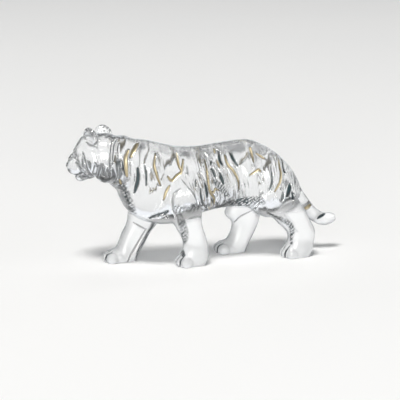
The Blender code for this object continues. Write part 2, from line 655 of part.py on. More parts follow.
def thinned(mesh, facets):
    """The mesh with its flat areas in larger facets."""
    holder = bpy.data.objects.new("thinned", mesh)
    bpy.context.scene.collection.objects.link(holder)
    mesh.calc_loop_triangles()
    thin = holder.modifiers.new("Thin", "DECIMATE")
    thin.ratio = facets / len(mesh.loop_triangles)
    graph = bpy.context.evaluated_depsgraph_get()
    result = bpy.data.meshes.new_from_object(holder.evaluated_get(graph))
    bpy.data.objects.remove(holder)
    bpy.data.meshes.remove(mesh)
    return result


def crystal():
    material = bpy.data.materials.new("crystal")
    material.use_nodes = True
    surface = material.node_tree.nodes["Principled BSDF"]
    surface.inputs["Base Color"].default_value = (0.86, 0.90, 0.95, 1.0)
    surface.inputs["Roughness"].default_value = 0.06
    surface.inputs["Metallic"].default_value = 0.0
    surface.inputs["IOR"].default_value = 1.54
    surface.inputs["Transmission Weight"].default_value = 0.9
    return material


def settle(mesh):
    """Put the origin under the middle of the box and turn millimetres into metres."""
    points = np.empty(3 * len(mesh.vertices))
    mesh.vertices.foreach_get("co", points)
    points = points.reshape(-1, 3)
    middle = (points.min(0) + points.max(0)) / 2
    points -= (middle[0], middle[1], points[:, 2].min())
    mesh.vertices.foreach_set("co", (points * MM).ravel())
    mesh.update()


def main():
    for obj in list(bpy.data.objects):
        bpy.data.objects.remove(obj)
    mesh = tiger()
    engrave(mesh)
    mesh = thinned(mesh, FACETS)
    cut_level(mesh)
    settle(mesh)
    mesh.name = "tiger"
    mesh.shade_smooth()
    mesh.materials.clear()
    mesh.materials.append(crystal())
    obj = bpy.data.objects.new("tiger", mesh)
    bpy.context.scene.collection.objects.link(obj)


main()
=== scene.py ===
"""The looks of the walking tiger: solid clear crystal with wheel-cut stripes, part of them gilded.

Lengths are in millimetres until a mesh is finished, and places are those of the CAD model before it is
settled on its base.
"""

import json
import math

import bmesh
import bpy
import numpy as np
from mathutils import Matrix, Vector
from mathutils.bvhtree import BVHTree

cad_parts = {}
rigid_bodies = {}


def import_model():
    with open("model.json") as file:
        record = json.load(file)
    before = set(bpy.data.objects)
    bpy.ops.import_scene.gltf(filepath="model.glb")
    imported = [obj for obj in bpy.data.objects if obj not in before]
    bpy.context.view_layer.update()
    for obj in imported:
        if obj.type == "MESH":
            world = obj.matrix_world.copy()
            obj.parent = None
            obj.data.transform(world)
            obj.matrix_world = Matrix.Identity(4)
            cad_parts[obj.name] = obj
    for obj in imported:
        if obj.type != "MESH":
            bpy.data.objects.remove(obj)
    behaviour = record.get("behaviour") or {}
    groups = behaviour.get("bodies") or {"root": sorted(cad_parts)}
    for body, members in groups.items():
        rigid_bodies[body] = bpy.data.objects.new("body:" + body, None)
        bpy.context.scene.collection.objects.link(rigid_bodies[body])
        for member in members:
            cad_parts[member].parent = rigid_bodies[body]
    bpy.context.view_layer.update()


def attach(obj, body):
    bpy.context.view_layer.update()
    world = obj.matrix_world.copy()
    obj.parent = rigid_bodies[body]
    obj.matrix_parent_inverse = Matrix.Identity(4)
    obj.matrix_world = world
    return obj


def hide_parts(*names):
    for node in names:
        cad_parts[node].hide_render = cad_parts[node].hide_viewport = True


MM = 0.001

# Trunk
BODY_LENGTH = 113.0
BODY_WIDTH = 31.0
BACK_HEIGHT = 70.2
BELLY_HEIGHT = 29.7
CHEST_FRONT_X = -50.5

# Neck and head
NECK_RADIUS = 14.0
HEAD_TURN_DEG = 32.0
HEAD_DROP_DEG = 31.0
HEAD_ROLL_DEG = 6.0
HEAD_LENGTH = 29.0
HEAD_WIDTH = 27.0
HEAD_HEIGHT = 27.0
EAR_RADIUS = 5.5
EAR_DISH = 1.6
EYE_RADIUS = 2.0

# Legs and paws
TRACK = 20.0
FORE_LEFT_X = -8.3
FORE_RIGHT_X = -47.8
HIND_LEFT_X = 58.0
HIND_RIGHT_X = 22.0
FORELEG_THICKNESS = 14.0
HINDLEG_THICKNESS = 15.0
PAW_LENGTH = 18.2
PAW_WIDTH = 13.5
PAW_HEIGHT = 8.6
TOE_RADIUS = 2.9

# Tail
TAIL_THICKNESS = 8.0
TAIL_REACH = 25.7

# Stripes
STRIPE_WIDTH = 2.2
STRIPE_DEPTH = 0.8

# Mesh
ROUGH_VOXEL = 1.0
RING_POINTS = 28


def spline(rows, count):
    """Rows of numbers, read off smoothly through the given ones (Catmull-Rom)."""
    rows = np.array(rows, float)
    padded = np.vstack([2 * rows[0] - rows[1], rows, 2 * rows[-1] - rows[-2]])
    spots = np.linspace(0, len(rows) - 1, count)
    i = np.minimum(spots.astype(int), len(rows) - 2)
    t = (spots - i)[:, None]
    a, b, c, d = (padded[i + k] for k in range(4))
    return 0.5 * (2 * b + (c - a) * t + (2 * a - 5 * b + 4 * c - d) * t**2 + (3 * b - a - 3 * c + d) * t**3)


def closed_mesh(name, rings, first, last):
    """One closed skin over rings of points, with a point at each end."""
    shape = bmesh.new()
    loops = [[shape.verts.new(p) for p in ring] for ring in rings]
    ends = shape.verts.new(first), shape.verts.new(last)
    for near, far in zip(loops, loops[1:]):
        for k in range(len(near)):
            n = (k + 1) % len(near)
            shape.faces.new((near[k], near[n], far[n], far[k]))
    for end, loop in zip(ends, (loops[0], loops[-1])):
        for k in range(len(loop)):
            shape.faces.new((end, loop[k], loop[(k + 1) % len(loop)]))
    bmesh.ops.recalc_face_normals(shape, faces=shape.faces)
    mesh = bpy.data.meshes.new(name)
    shape.to_mesh(mesh)
    shape.free()
    return mesh


def superellipse(power):
    """Points round a unit superellipse: 2 is round, and more is squarer."""
    turn = np.linspace(0, 2 * np.pi, RING_POINTS, endpoint=False)
    c, s = np.cos(turn), np.sin(turn)
    return np.sign(c) * abs(c) ** (2 / power), np.sign(s) * abs(s) ** (2 / power)


def loft(name, centres, across, upward, half_widths, half_heights, power=2.0, egg=0.0):
    """A tube through centres. Each ring lies in its own plane of across and upward; egg narrows its top."""
    c, s = superellipse(power)
    rings = []
    for k in range(len(centres)):
        width = half_widths[k] * c * (1 - egg * s)
        rings.append(centres[k] + np.outer(width, across[k]) + np.outer(half_heights[k] * s, upward[k]))
    return closed_mesh(name, rings, centres[0], centres[-1])


def tube(name, rows, count=24, power=2.0, side=(0, 1, 0)):
    """A tube along rows of (x, y, z, half thickness fore and aft, half thickness to the sides)."""
    rows = spline(rows, count)
    centres = rows[:, :3]
    along = np.gradient(centres, axis=0)
    along /= np.linalg.norm(along, axis=1)[:, None]
    across = np.array(side, float) - along * (along @ np.array(side, float))[:, None]
    across /= np.linalg.norm(across, axis=1)[:, None]
    upward = np.cross(along, across)
    return loft(name, centres, across, upward, rows[:, 4], rows[:, 3], power)


def blob(name, centre, radii, axes=((1, 0, 0), (0, 1, 0), (0, 0, 1))):
    """An ellipsoid with its radii along the three axes."""
    shape = bmesh.new()
    bmesh.ops.create_icosphere(shape, subdivisions=4, radius=1)
    turned = np.array([v.co for v in shape.verts]) * np.array(radii) @ np.array(axes, float)
    for vert, place in zip(shape.verts, turned + np.array(centre)):
        vert.co = place
    mesh = bpy.data.meshes.new(name)
    shape.to_mesh(mesh)
    shape.free()
    return mesh


def fused(name, meshes, voxel, smoothing):
    """The meshes grown into one skin by a voxel remesh, with its creases relaxed."""
    shape = bmesh.new()
    for mesh in meshes:
        shape.from_mesh(mesh)
        bpy.data.meshes.remove(mesh)
    mesh = bpy.data.meshes.new(name)
    shape.to_mesh(mesh)
    shape.free()
    holder = bpy.data.objects.new(name, mesh)
    bpy.context.scene.collection.objects.link(holder)
    remesh = holder.modifiers.new("Grow together", "REMESH")
    remesh.mode = "VOXEL"
    remesh.voxel_size = voxel
    relax = holder.modifiers.new("Relax", "SMOOTH")
    relax.factor = 0.5
    relax.iterations = smoothing
    graph = bpy.context.evaluated_depsgraph_get()
    grown = bpy.data.meshes.new_from_object(holder.evaluated_get(graph))
    bpy.data.objects.remove(holder)
    bpy.data.meshes.remove(mesh)
    return grown


# Trunk: share of the length, top and bottom as shares of the heights, half width as a share of the width
TRUNK = (
    (0.00, 0.836, 1.467, 0.14),
    (0.04, 1.028, 1.17, 0.33),
    (0.12, 1.08, 0.926, 0.46),
    (0.22, 1.044, 0.809, 0.51),
    (0.32, 1.003, 0.83, 0.5),
    (0.43, 0.993, 0.968, 0.465),
    (0.54, 1.01, 1.053, 0.45),
    (0.64, 1.026, 1.064, 0.46),
    (0.72, 1.023, 1, 0.49),
    (0.80, 0.969, 0.788, 0.51),
    (0.88, 0.882, 0.83, 0.48),
    (0.95, 0.759, 1, 0.38),
    (0.99, 0.651, 1.212, 0.22),
)


def trunk_rows():
    rows = []
    for along, top, bottom, half in TRUNK:
        x = CHEST_FRONT_X + along * BODY_LENGTH
        rows.append((x, top * BACK_HEIGHT, bottom * BELLY_HEIGHT, half * BODY_WIDTH))
    return rows


def trunk():
    rows = spline(trunk_rows(), 48)
    centres = np.stack([rows[:, 0], 0 * rows[:, 0], (rows[:, 1] + rows[:, 2]) / 2], 1)
    ones = np.ones((len(rows), 1))
    half_heights = (rows[:, 1] - rows[:, 2]) / 2
    return loft("trunk", centres, ones * [0, 1, 0], ones * [0, 0, 1], rows[:, 3], half_heights, 2.25, 0.10)


def head_frame():
    """Where the head sits on the neck, and its forward, left and crown directions."""
    turn, drop, roll = (math.radians(angle) for angle in (HEAD_TURN_DEG, HEAD_DROP_DEG, HEAD_ROLL_DEG))
    level = np.array([-math.cos(turn), math.sin(turn), 0])
    forward = math.cos(drop) * level - math.sin(drop) * np.array([0, 0, 1])
    upright = math.sin(drop) * level + math.cos(drop) * np.array([0, 0, 1])
    sideways = np.cross([0, 0, 1], level)
    left = math.cos(roll) * sideways + math.sin(roll) * upright
    crown = math.cos(roll) * upright - math.sin(roll) * sideways
    throat = np.array([CHEST_FRONT_X - 0.11 * NECK_RADIUS, 0, BACK_HEIGHT + 0.14 * NECK_RADIUS])
    return throat + 0.285 * NECK_RADIUS * level, forward, left, crown


def head_points(shares):
    """Points given along, left and up in the head, as shares of its length, half width and half height."""
    seat, forward, left, crown = head_frame()
    spots = np.array(shares, float) * (HEAD_LENGTH, HEAD_WIDTH / 2, HEAD_HEIGHT / 2)
    return seat + spots @ np.array([forward, left, crown])


# Head: share of its length, top and bottom as shares of its height, half width as a share of its width
HEAD = (
    (-0.30, 0.02, -0.35, 0.18),
    (-0.20, 0.17, -0.45, 0.33),
    (-0.08, 0.28, -0.50, 0.43),
    (0.04, 0.35, -0.52, 0.47),
    (0.16, 0.41, -0.52, 0.49),
    (0.32, 0.48, -0.48, 0.47),
    (0.50, 0.42, -0.42, 0.38),
    (0.66, 0.29, -0.37, 0.27),
    (0.80, 0.21, -0.32, 0.21),
    (0.91, 0.14, -0.25, 0.18),
    (0.965, 0.07, -0.10, 0.10),
)

# Forms of the head, each left and right: place along, out and up, then radii along, across and up, all as
# shares of its length, half width and half height. The first ones melt into the skull, the others stay crisp.
HEAD_MASSES = (
    ("nose_bridge", (0.62, 0.08, 0.31), (0.30, 0.22, 0.24)),
    ("brow", (0.50, 0.36, 0.46), (0.17, 0.28, 0.22)),
    ("cheek", (0.36, 0.56, -0.26), (0.26, 0.42, 0.56)),
    ("jaw", (0.50, 0.30, -0.55), (0.28, 0.36, 0.36)),
    ("ruff", (0.17, 0.48, -0.67), (0.30, 0.50, 0.82)),
    ("nape", (-0.08, 0.20, -0.16), (0.34, 0.60, 0.46)),
)
HEAD_DETAILS = (
    ("whisker_pad", (0.79, 0.25, -0.09), (0.18, 0.29, 0.31)),
    ("chin", (0.765, 0.10, -0.53), (0.165, 0.26, 0.26)),
    ("nose_pad", (0.93, 0.08, 0.13), (0.07, 0.17, 0.15)),
    ("cheekbone", (0.52, 0.50, 0.04), (0.14, 0.20, 0.20)),
)


def head():
    rows = spline(HEAD, 30)
    seat, forward, left, crown = head_frame()
    middle = (rows[:, 1] + rows[:, 2]) / 2 * HEAD_HEIGHT
    centres = seat + np.outer(rows[:, 0] * HEAD_LENGTH, forward) + np.outer(middle, crown)
    ones = np.ones((len(rows), 1))
    half_heights = (rows[:, 1] - rows[:, 2]) / 2 * HEAD_HEIGHT
    return loft("head", centres, ones * left, ones * crown, rows[:, 3] * HEAD_WIDTH, half_heights, 2.2)


def head_forms(forms):
    _, forward, left, crown = head_frame()
    size = np.array([HEAD_LENGTH, HEAD_WIDTH / 2, HEAD_HEIGHT / 2])
    meshes = []
    for name, place, radii in forms:
        for side in (-1, 1):
            spot = head_points([(place[0], side * place[1], place[2])])[0]
            meshes.append(blob(name, spot, size * radii, (forward, left, crown)))
    return meshes


def eyes():
    spots = head_points([(0.615, 0.40, 0.31), (0.615, -0.40, 0.31)])
    return [blob("eye", spot, (EYE_RADIUS,) * 3) for spot in spots]


def ear(side):
    """A round cupped ear: a flattened ball with its front pushed in."""
    _, forward, left, crown = head_frame()
    out = side * left
    face = 0.42 * forward + 0.90 * out + 0.1 * crown
    face /= np.linalg.norm(face)
    up = crown + 0.25 * out + 0.10 * forward
    up -= face * (up @ face)
    up /= np.linalg.norm(up)
    across = np.cross(face, up)
    shape = bmesh.new()
    bmesh.ops.create_icosphere(shape, subdivisions=5, radius=1)
    spot = head_points([(0.105, side * 0.72, 0.62)])[0]
    for vert in shape.verts:
        x, y, z = vert.co
        rim = x * x + z * z
        depth = 0.46 * EAR_RADIUS * y
        if y > 0:
            depth -= EAR_DISH * max(0, 1 - rim / 0.80)
        vert.co = spot + EAR_RADIUS * (0.95 * x * across + 1.12 * z * up) + depth * face
    mesh = bpy.data.meshes.new("ear")
    shape.to_mesh(mesh)
    shape.free()
    return mesh


def neck():
    seat, forward, _, crown = head_frame()
    nape = seat - 0.07 * NECK_RADIUS * (forward + crown)
    r = NECK_RADIUS
    rows = [
        (CHEST_FRONT_X + 0.212 * BODY_LENGTH, 0, 0.70 * BACK_HEIGHT, 1.36 * r, 1.00 * r),
        (CHEST_FRONT_X + 0.106 * BODY_LENGTH, 0, 0.83 * BACK_HEIGHT, 1.27 * r, 1.00 * r),
        (CHEST_FRONT_X + 0.027 * BODY_LENGTH, 0.03 * r, 0.915 * BACK_HEIGHT, 1.10 * r, 0.96 * r),
        (*nape, 0.76 * r, 0.89 * r),
    ]
    return tube("neck", rows)


def leg(name, side, foot_x, root_z, thickness, rows):
    """A leg in level sections, from its root in the trunk down to the sole."""
    rows = spline(rows, 36)
    half_track = side * TRACK / 2
    centres = np.stack([foot_x + rows[:, 1] * thickness, rows[:, 4] * half_track, rows[:, 0] * root_z], 1)
    ones = np.ones((len(rows), 1))
    half_widths, half_lengths = rows[:, 3] * thickness, rows[:, 2] * thickness
    return loft(name, centres, ones * [0, 1, 0], ones * [1, 0, 0], half_widths, half_lengths, 2.6)


# Paws: name, side, place fore and aft, and how far the toes turn out
PAWS = (
    ("fore_left_paw", -1, FORE_LEFT_X, 6),
    ("fore_right_paw", 1, FORE_RIGHT_X, 6),
    ("hind_left_paw", -1, HIND_LEFT_X, 4),
    ("hind_right_paw", 1, HIND_RIGHT_X, 4),
)


def paw_axes(side, toe_out_deg):
    turn = math.radians(toe_out_deg) * side
    return np.array([-math.cos(turn), math.sin(turn), 0]), np.array([math.sin(turn), math.cos(turn), 0])


def paw(name, side, foot_x, toe_out_deg):
    """A flat pad with four toes in front."""
    ahead, outward = paw_axes(side, toe_out_deg)
    up = np.array([0, 0, 1])
    centre = np.array([foot_x, side * TRACK / 2, 0])
    axes = (ahead, outward, up)
    radii = (PAW_LENGTH * 0.42, PAW_WIDTH * 0.48, PAW_HEIGHT * 0.60)
    meshes = [blob(name + "_pad", centre + 0.36 * PAW_HEIGHT * up, radii, axes)]
    reach = PAW_LENGTH / 2 - TOE_RADIUS
    for k, (ahead_share, across) in enumerate(((0.66, -0.345), (0.98, -0.12), (0.98, 0.12), (0.66, 0.345))):
        spot = centre + ahead_share * reach * ahead + across * PAW_WIDTH * outward + TOE_RADIUS * 0.85 * up
        toe = (TOE_RADIUS * 1.35, TOE_RADIUS * 0.88, TOE_RADIUS * 1.25)
        meshes.append(blob(f"{name}_toe_{k}", spot, toe, axes))
    return meshes


# Leg rows: share of the root's height, lean of the middle from the foot, half thickness fore and aft, half
# thickness sideways (all three as shares of the leg's thickness), and the share of the half track.
FORE_LEFT = (
    (1, -0.95, 0.84, 0.38, 0.80),
    (0.855, -0.80, 0.97, 0.46, 0.88),
    (0.742, -0.62, 0.97, 0.49, 0.94),
    (0.628, -0.38, 0.84, 0.49, 0.98),
    (0.52, -0.22, 0.65, 0.47, 1.0),
    (0.416, -0.09, 0.58, 0.45, 1.0),
    (0.282, 0.14, 0.525, 0.43, 1.0),
    (0.179, 0.17, 0.56, 0.43, 1.0),
    (0.101, 0.10, 0.66, 0.46, 1.0),
    (0.034, 0.05, 0.64, 0.46, 1.0),
    (-0.03, 0.02, 0.54, 0.40, 1.0),
)
FORE_RIGHT = (
    (1, 1.45, 0.84, 0.38, 0.80),
    (0.855, 1.42, 0.94, 0.46, 0.88),
    (0.742, 1.4, 0.94, 0.48, 0.94),
    (0.587, 1.24, 0.82, 0.48, 0.98),
    (0.416, 1.02, 0.69, 0.46, 1.0),
    (0.308, 0.74, 0.63, 0.44, 1.0),
    (0.189, 0.52, 0.59, 0.43, 1.0),
    (0.111, 0.34, 0.6, 0.44, 1.0),
    (0.049, 0.16, 0.62, 0.46, 1.0),
    (-0.03, 0.18, 0.54, 0.40, 1.0),
)
HIND_LEFT = (
    (1, -1.05, 0.84, 0.40, 0.80),
    (0.845, -1.05, 0.96, 0.48, 0.90),
    (0.69, -0.84, 0.86, 0.52, 0.97),
    (0.545, -0.44, 0.78, 0.50, 1.0),
    (0.408, -0.12, 0.71, 0.46, 1.0),
    (0.302, 0.17, 0.61, 0.43, 1.0),
    (0.204, 0.21, 0.55, 0.42, 1.0),
    (0.095, 0.07, 0.64, 0.44, 1.0),
    (0.028, 0.02, 0.64, 0.44, 1.0),
    (-0.03, 0.0, 0.54, 0.40, 1.0),
)
HIND_RIGHT = (
    (1, 1.45, 0.84, 0.40, 0.80),
    (0.845, 1.30, 1.04, 0.48, 0.90),
    (0.69, 1.05, 1.04, 0.50, 0.96),
    (0.555, 0.80, 0.9, 0.48, 1.0),
    (0.449, 0.55, 0.78, 0.45, 1.0),
    (0.349, 0.65, 0.57, 0.42, 1.0),
    (0.239, 0.55, 0.51, 0.41, 1.0),
    (0.152, 0.39, 0.51, 0.42, 1.0),
    (0.08, 0.22, 0.55, 0.43, 1.0),
    (-0.03, 0.12, 0.5, 0.40, 1.0),
)


def legs():
    fore_z = 0.772 * BACK_HEIGHT
    hind_z = 0.758 * BACK_HEIGHT
    return [
        leg("fore_left", -1, FORE_LEFT_X, fore_z, FORELEG_THICKNESS, FORE_LEFT),
        leg("fore_right", 1, FORE_RIGHT_X, fore_z, FORELEG_THICKNESS, FORE_RIGHT),
        leg("hind_left", -1, HIND_LEFT_X, hind_z, HINDLEG_THICKNESS, HIND_LEFT),
        leg("hind_right", 1, HIND_RIGHT_X, hind_z, HINDLEG_THICKNESS, HIND_RIGHT),
    ]


def tail():
    rump_x = CHEST_FRONT_X + BODY_LENGTH
    r = TAIL_THICKNESS / 2
    rows = [
        (rump_x - 0.47 * TAIL_REACH, 0, 0.754 * BACK_HEIGHT, 1.3 * r, 1.3 * r),
        (rump_x - 0.22 * TAIL_REACH, 0, 0.621 * BACK_HEIGHT, 1.15 * r, 1.15 * r),
        (rump_x + 0.04 * TAIL_REACH, 0, 0.477 * BACK_HEIGHT, 1.05 * r, 1.05 * r),
        (rump_x + 0.33 * TAIL_REACH, 0, 0.344 * BACK_HEIGHT, 1.02 * r, 1.0 * r),
        (rump_x + 0.62 * TAIL_REACH, 0, 0.272 * BACK_HEIGHT, 1.04 * r, 1.0 * r),
        (rump_x + 0.86 * TAIL_REACH, 0, 0.277 * BACK_HEIGHT, 0.88 * r, 0.9 * r),
        (rump_x + 0.97 * TAIL_REACH, 0, 0.28 * BACK_HEIGHT, 0.55 * r, 0.55 * r),
    ]
    return tube("tail", rows, 34)


# Muscles that stand out a little on the trunk and legs, each left and right: place as shares of the trunk's
# length, width and height, and radii as shares of the same
MUSCLES = (
    ("shoulder_blade", (0.16, 0.26, 0.80), (0.080, 0.250, 0.210)),
    ("upper_arm", (0.27, 0.30, 0.60), (0.085, 0.225, 0.190)),
    ("haunch", (0.80, 0.27, 0.66), (0.105, 0.265, 0.260)),
    ("rump", (0.87, 0.24, 0.62), (0.060, 0.220, 0.170)),
)


def muscles():
    meshes = []
    for name, (along, out, up), radii in MUSCLES:
        for side in (-1, 1):
            spot = (CHEST_FRONT_X + along * BODY_LENGTH, side * out * BODY_WIDTH, up * BACK_HEIGHT)
            meshes.append(blob(name, spot, np.array(radii) * (BODY_LENGTH, BODY_WIDTH, BACK_HEIGHT)))
    return meshes


def masses():
    """The large forms, grown together with soft hollows between them."""
    pieces = [trunk(), neck(), head(), tail(), *legs(), *muscles(), *head_forms(HEAD_MASSES)]
    return fused("masses", pieces, ROUGH_VOXEL, 8)


def modelled(voxel):
    """The large forms with the crisper forms of the face on them."""
    return fused("modelled", [masses(), *head_forms(HEAD_DETAILS)], voxel, 4)


def tiger(voxel):
    """The whole animal, with its ears, eyes and paws."""
    pieces = [modelled(voxel), ear(-1), ear(1), *eyes()]
    for place in PAWS:
        pieces += paw(*place)
    return fused("tiger", pieces, voxel, 2)


# Stripes cut in each flank: gilded or not, width as a share, and the line that each follows, as shares of the
# trunk's length behind the chest and of the back's height
STRIPES = (
    (True, 1.5, ((0.100, 1.070), (0.065, 1.020), (0.045, 0.970))),
    (True, 1.4, ((0.040, 1.030), (0.020, 0.965), (0.020, 0.880), (0.025, 0.805))),
    (True, 0.9, ((-0.010, 0.780), (0.000, 0.730))),
    (True, 1.0, ((0.180, 0.990), (0.165, 0.905), (0.175, 0.820), (0.195, 0.725))),
    (True, 1.0, ((0.300, 0.975), (0.300, 0.885), (0.315, 0.825))),
    (True, 1.1, ((0.330, 0.920), (0.310, 0.825), (0.285, 0.795), (0.255, 0.760), (0.235, 0.795))),
    (True, 1.0, ((0.245, 0.720), (0.225, 0.670), (0.210, 0.600))),
    (True, 1.0,
     ((0.445, 0.910), (0.450, 0.825), (0.455, 0.735), (0.465, 0.640), (0.490, 0.570), (0.495, 0.51))),
    (True, 0.8, ((0.470, 0.645), (0.485, 0.625), (0.495, 0.655), (0.515, 0.640))),
    (True, 0.8, ((0.510, 0.985), (0.505, 0.950))),
    (True, 0.8, ((0.510, 0.895), (0.520, 0.835))),
    (True, 1.0, ((0.555, 0.935), (0.565, 0.860), (0.595, 0.800), (0.615, 0.735), (0.625, 0.635))),
    (True, 1.0, ((0.700, 0.985), (0.700, 0.955), (0.705, 0.865))),
    (True, 0.9, ((0.725, 0.935), (0.770, 0.885))),
    (True, 0.9, ((0.680, 0.760), (0.705, 0.780), (0.730, 0.805), (0.740, 0.780))),
    (True, 1.1, ((0.855, 0.900), (0.850, 0.830), (0.855, 0.755), (0.845, 0.680), (0.815, 0.610))),
    (True, 1.4, ((1.070, 0.425), (1.045, 0.400), (1.025, 0.380))),
    (False, 1.3, ((0.080, 0.880), (0.080, 0.775), (0.065, 0.670))),
    (False, 0.7, ((0.115, 0.900), (0.120, 0.820), (0.120, 0.730))),
    (False, 0.7, ((0.385, 0.750), (0.385, 0.690))),
    (False, 0.9, ((0.410, 0.670), (0.415, 0.600), (0.435, 0.520))),
    (False, 0.9, ((0.435, 0.715), (0.445, 0.650), (0.450, 0.585))),
    (False, 0.8, ((0.480, 0.895), (0.475, 0.865))),
    (False, 1.1, ((0.475, 0.835), (0.485, 0.805), (0.495, 0.760))),
    (False, 0.8, ((0.525, 0.970), (0.525, 0.895), (0.540, 0.845))),
    (False, 1.1, ((0.520, 0.785), (0.530, 0.740), (0.540, 0.695))),
    (False, 1.0, ((0.585, 0.950), (0.600, 0.890), (0.620, 0.840))),
    (False, 0.8, ((0.795, 0.835), (0.800, 0.710), (0.785, 0.625))),
    (False, 0.9, ((0.880, 0.860), (0.875, 0.810), (0.880, 0.745))),
    (False, 1.4, ((0.905, 0.660), (0.895, 0.610), (0.880, 0.555))),
    (False, 1.1, ((0.915, 0.590), (0.920, 0.560), (0.915, 0.525))),
    (False, 0.8, ((0.860, 0.600), (0.850, 0.525))),
    (False, 1.0, ((1.155, 0.325), (1.125, 0.310), (1.105, 0.290))),
)

# Folds of the skin: side, width and depth as shares of a stripe's, and the line as for the stripes
FOLDS = (
    (-1, 0.6, 0.8, ((-0.045, 1.105), (-0.055, 1.035), (-0.060, 0.955), (-0.060, 0.870))),
    (-1, 0.7, 0.9, ((-0.010, 1.125), (-0.035, 1.075), (-0.045, 0.995), (-0.050, 0.920))),
    (-1, 0.9, 0.7, ((-0.010, 1.085), (-0.020, 1.035), (-0.020, 0.975))),
    (-1, 0.8, 0.9, ((0.000, 0.950), (0.005, 0.885), (0.015, 0.815))),
    (-1, 3.0, 0.9, ((0.320, 0.805), (0.345, 0.720), (0.375, 0.630), (0.395, 0.525))),
    (-1, 1.3, 0.9,
     ((0.300, 0.685), (0.270, 0.655), (0.258, 0.600), (0.262, 0.530), (0.275, 0.455))),
    (-1, 5.0, 1.7, ((0.555, 0.760), (0.570, 0.660), (0.585, 0.560))),
    (1, 5.0, 1.7, ((0.555, 0.760), (0.570, 0.660), (0.585, 0.560))),
    (-1, 1.2, 1.0, ((0.015, 0.720), (0.025, 0.640), (0.045, 0.560))),
    (1, 1.2, 1.0, ((0.015, 0.720), (0.025, 0.640), (0.045, 0.560))),
    (-1, 0.8, 0.9, ((0.520, 0.460), (0.600, 0.545))),
    (-1, 0.8, 0.9, ((0.550, 0.450), (0.645, 0.555))),
    (-1, 0.8, 0.9, ((0.585, 0.450), (0.690, 0.555))),
    (-1, 0.8, 0.9, ((0.625, 0.455), (0.710, 0.540))),
    (1, 3.0, 0.9, ((0.220, 0.805), (0.245, 0.720), (0.270, 0.630), (0.275, 0.525))),
    (-1, 0.9, 0.8, ((0.145, 0.430), (0.175, 0.460), (0.210, 0.475), (0.235, 0.500))),
    (-1, 1.6, 0.7, ((0.870, 0.400), (0.910, 0.320), (0.945, 0.235))),
    (-1, 0.9, 0.5, ((0.340, 0.425), (0.365, 0.430), (0.395, 0.435))),
    (-1, 1.1, 0.9, ((0.160, 0.285), (0.115, 0.165), (0.080, 0.075), (0.055, 0.000))),
    (-1, 0.8, 0.6, ((0.090, 0.350), (0.125, 0.315), (0.155, 0.285))),
    (-1, 0.8, 0.6, ((0.655, 0.275), (0.680, 0.330), (0.745, 0.380))),
)


# Grooves in the face: width and depth as shares of a stripe's, whether there is a right and a left one, and
# the line along, out and up in the head
FACE_GROOVES = (
    (0.70, 1.2, True, ((0.90, 0.0, -0.26), (0.83, 0.24, -0.42), (0.70, 0.42, -0.44), (0.58, 0.52, -0.50))),
    (0.90, 1.1, True,
     ((0.71, 0.31, 0.44), (0.66, 0.55, 0.17), (0.58, 0.75, -0.09), (0.55, 0.81, -0.47), (0.54, 0.6, -0.8))),
    (0.75, 1.0, True, ((0.70, 0.54, 0.04), (0.67, 0.58, -0.38), (0.59, 0.67, -0.67))),
    (0.90, 0.9, True, ((0.37, 0.90, 0.26), (0.40, 1.00, -0.18), (0.47, 0.87, -0.61), (0.51, 0.52, -0.87))),
    (2.40, 0.9, True, ((0.11, 1.01, 0.10), (0.16, 1.01, -0.35), (0.17, 1.02, -0.65))),
    (1.00, 1.2, True,
     ((0.37, 0.80, -1.03), (0.24, 1.00, -0.81), (0.11, 1.01, -0.61), (0.12, 1.01, -0.84), (0.2, 0.94, -1.1))),
    (1.00, 1.1, True, ((0.13, 0.98, -0.95), (0.18, 0.89, -1.23))),
    (1.00, 1.1, True, ((0.05, 0.95, -0.95), (0.10, 0.84, -1.27))),
    (0.80, 0.9, True, ((0.21, 0.79, 0.58), (0.15, 0.89, 0.37), (0.05, 0.93, 0.24), (-0.04, 0.78, 0.30))),
    (0.65, 1.0, True, ((0.71, 0.28, 0.26), (0.64, 0.46, 0.20), (0.56, 0.56, 0.32))),
    (0.65, 1.0, True, ((0.71, 0.26, 0.36), (0.63, 0.40, 0.48), (0.54, 0.52, 0.44))),
    (0.55, 1.0, True, ((0.97, 0.16, 0.12), (0.93, 0.24, 0.14))),
    (0.55, 1.0, False, ((0.98, 0.0, 0.06), (0.95, 0.0, -0.12), (0.90, 0.0, -0.26))),
)


def stripe_line(tree, side, marks):
    """Close points along one stripe, drawn on one side as it is seen squarely from that side."""
    line = []
    for along, up in spline(marks, 12 * len(marks)):
        x, z = CHEST_FRONT_X + along * BODY_LENGTH, up * BACK_HEIGHT
        spot = tree.ray_cast(Vector((x, side * BODY_WIDTH, z)), Vector((0, -side, 0)))[0]
        line.append(spot or tree.find_nearest(Vector((x, 0, z)))[0])
    return np.array(line)


def face_line(tree, side, marks):
    marks = np.array(marks) * (1, side, 1)
    guesses = head_points(spline(marks, 12 * len(marks)))
    return np.array([tree.find_nearest(Vector(p))[0] for p in guesses])


def toe_lines():
    """The clefts between the toes of every paw, from the top of the paw down its front."""
    lines = []
    for _, side, foot_x, toe_out_deg in PAWS:
        ahead, outward = paw_axes(side, toe_out_deg)
        centre = np.array([foot_x, side * TRACK / 2, 0])
        for across in (-0.23, 0.0, 0.23):
            reach = PAW_LENGTH * (0.52 - 0.9 * across * across)
            back, brow = reach - 0.20 * PAW_LENGTH, reach - 0.05 * PAW_LENGTH
            cleft = centre + across * PAW_WIDTH * outward
            spots = ((back, 0.84), (brow, 0.60), (reach, 0.25), (reach, -0.1))
            lines.append([cleft + a * ahead + (0, 0, u * PAW_HEIGHT) for a, u in spots])
    return lines


def leaf(count):
    """How wide a stripe is along its length: pointed at both ends and full in the middle."""
    return np.sin(np.linspace(0.10, 0.90, count) * np.pi) ** 0.55


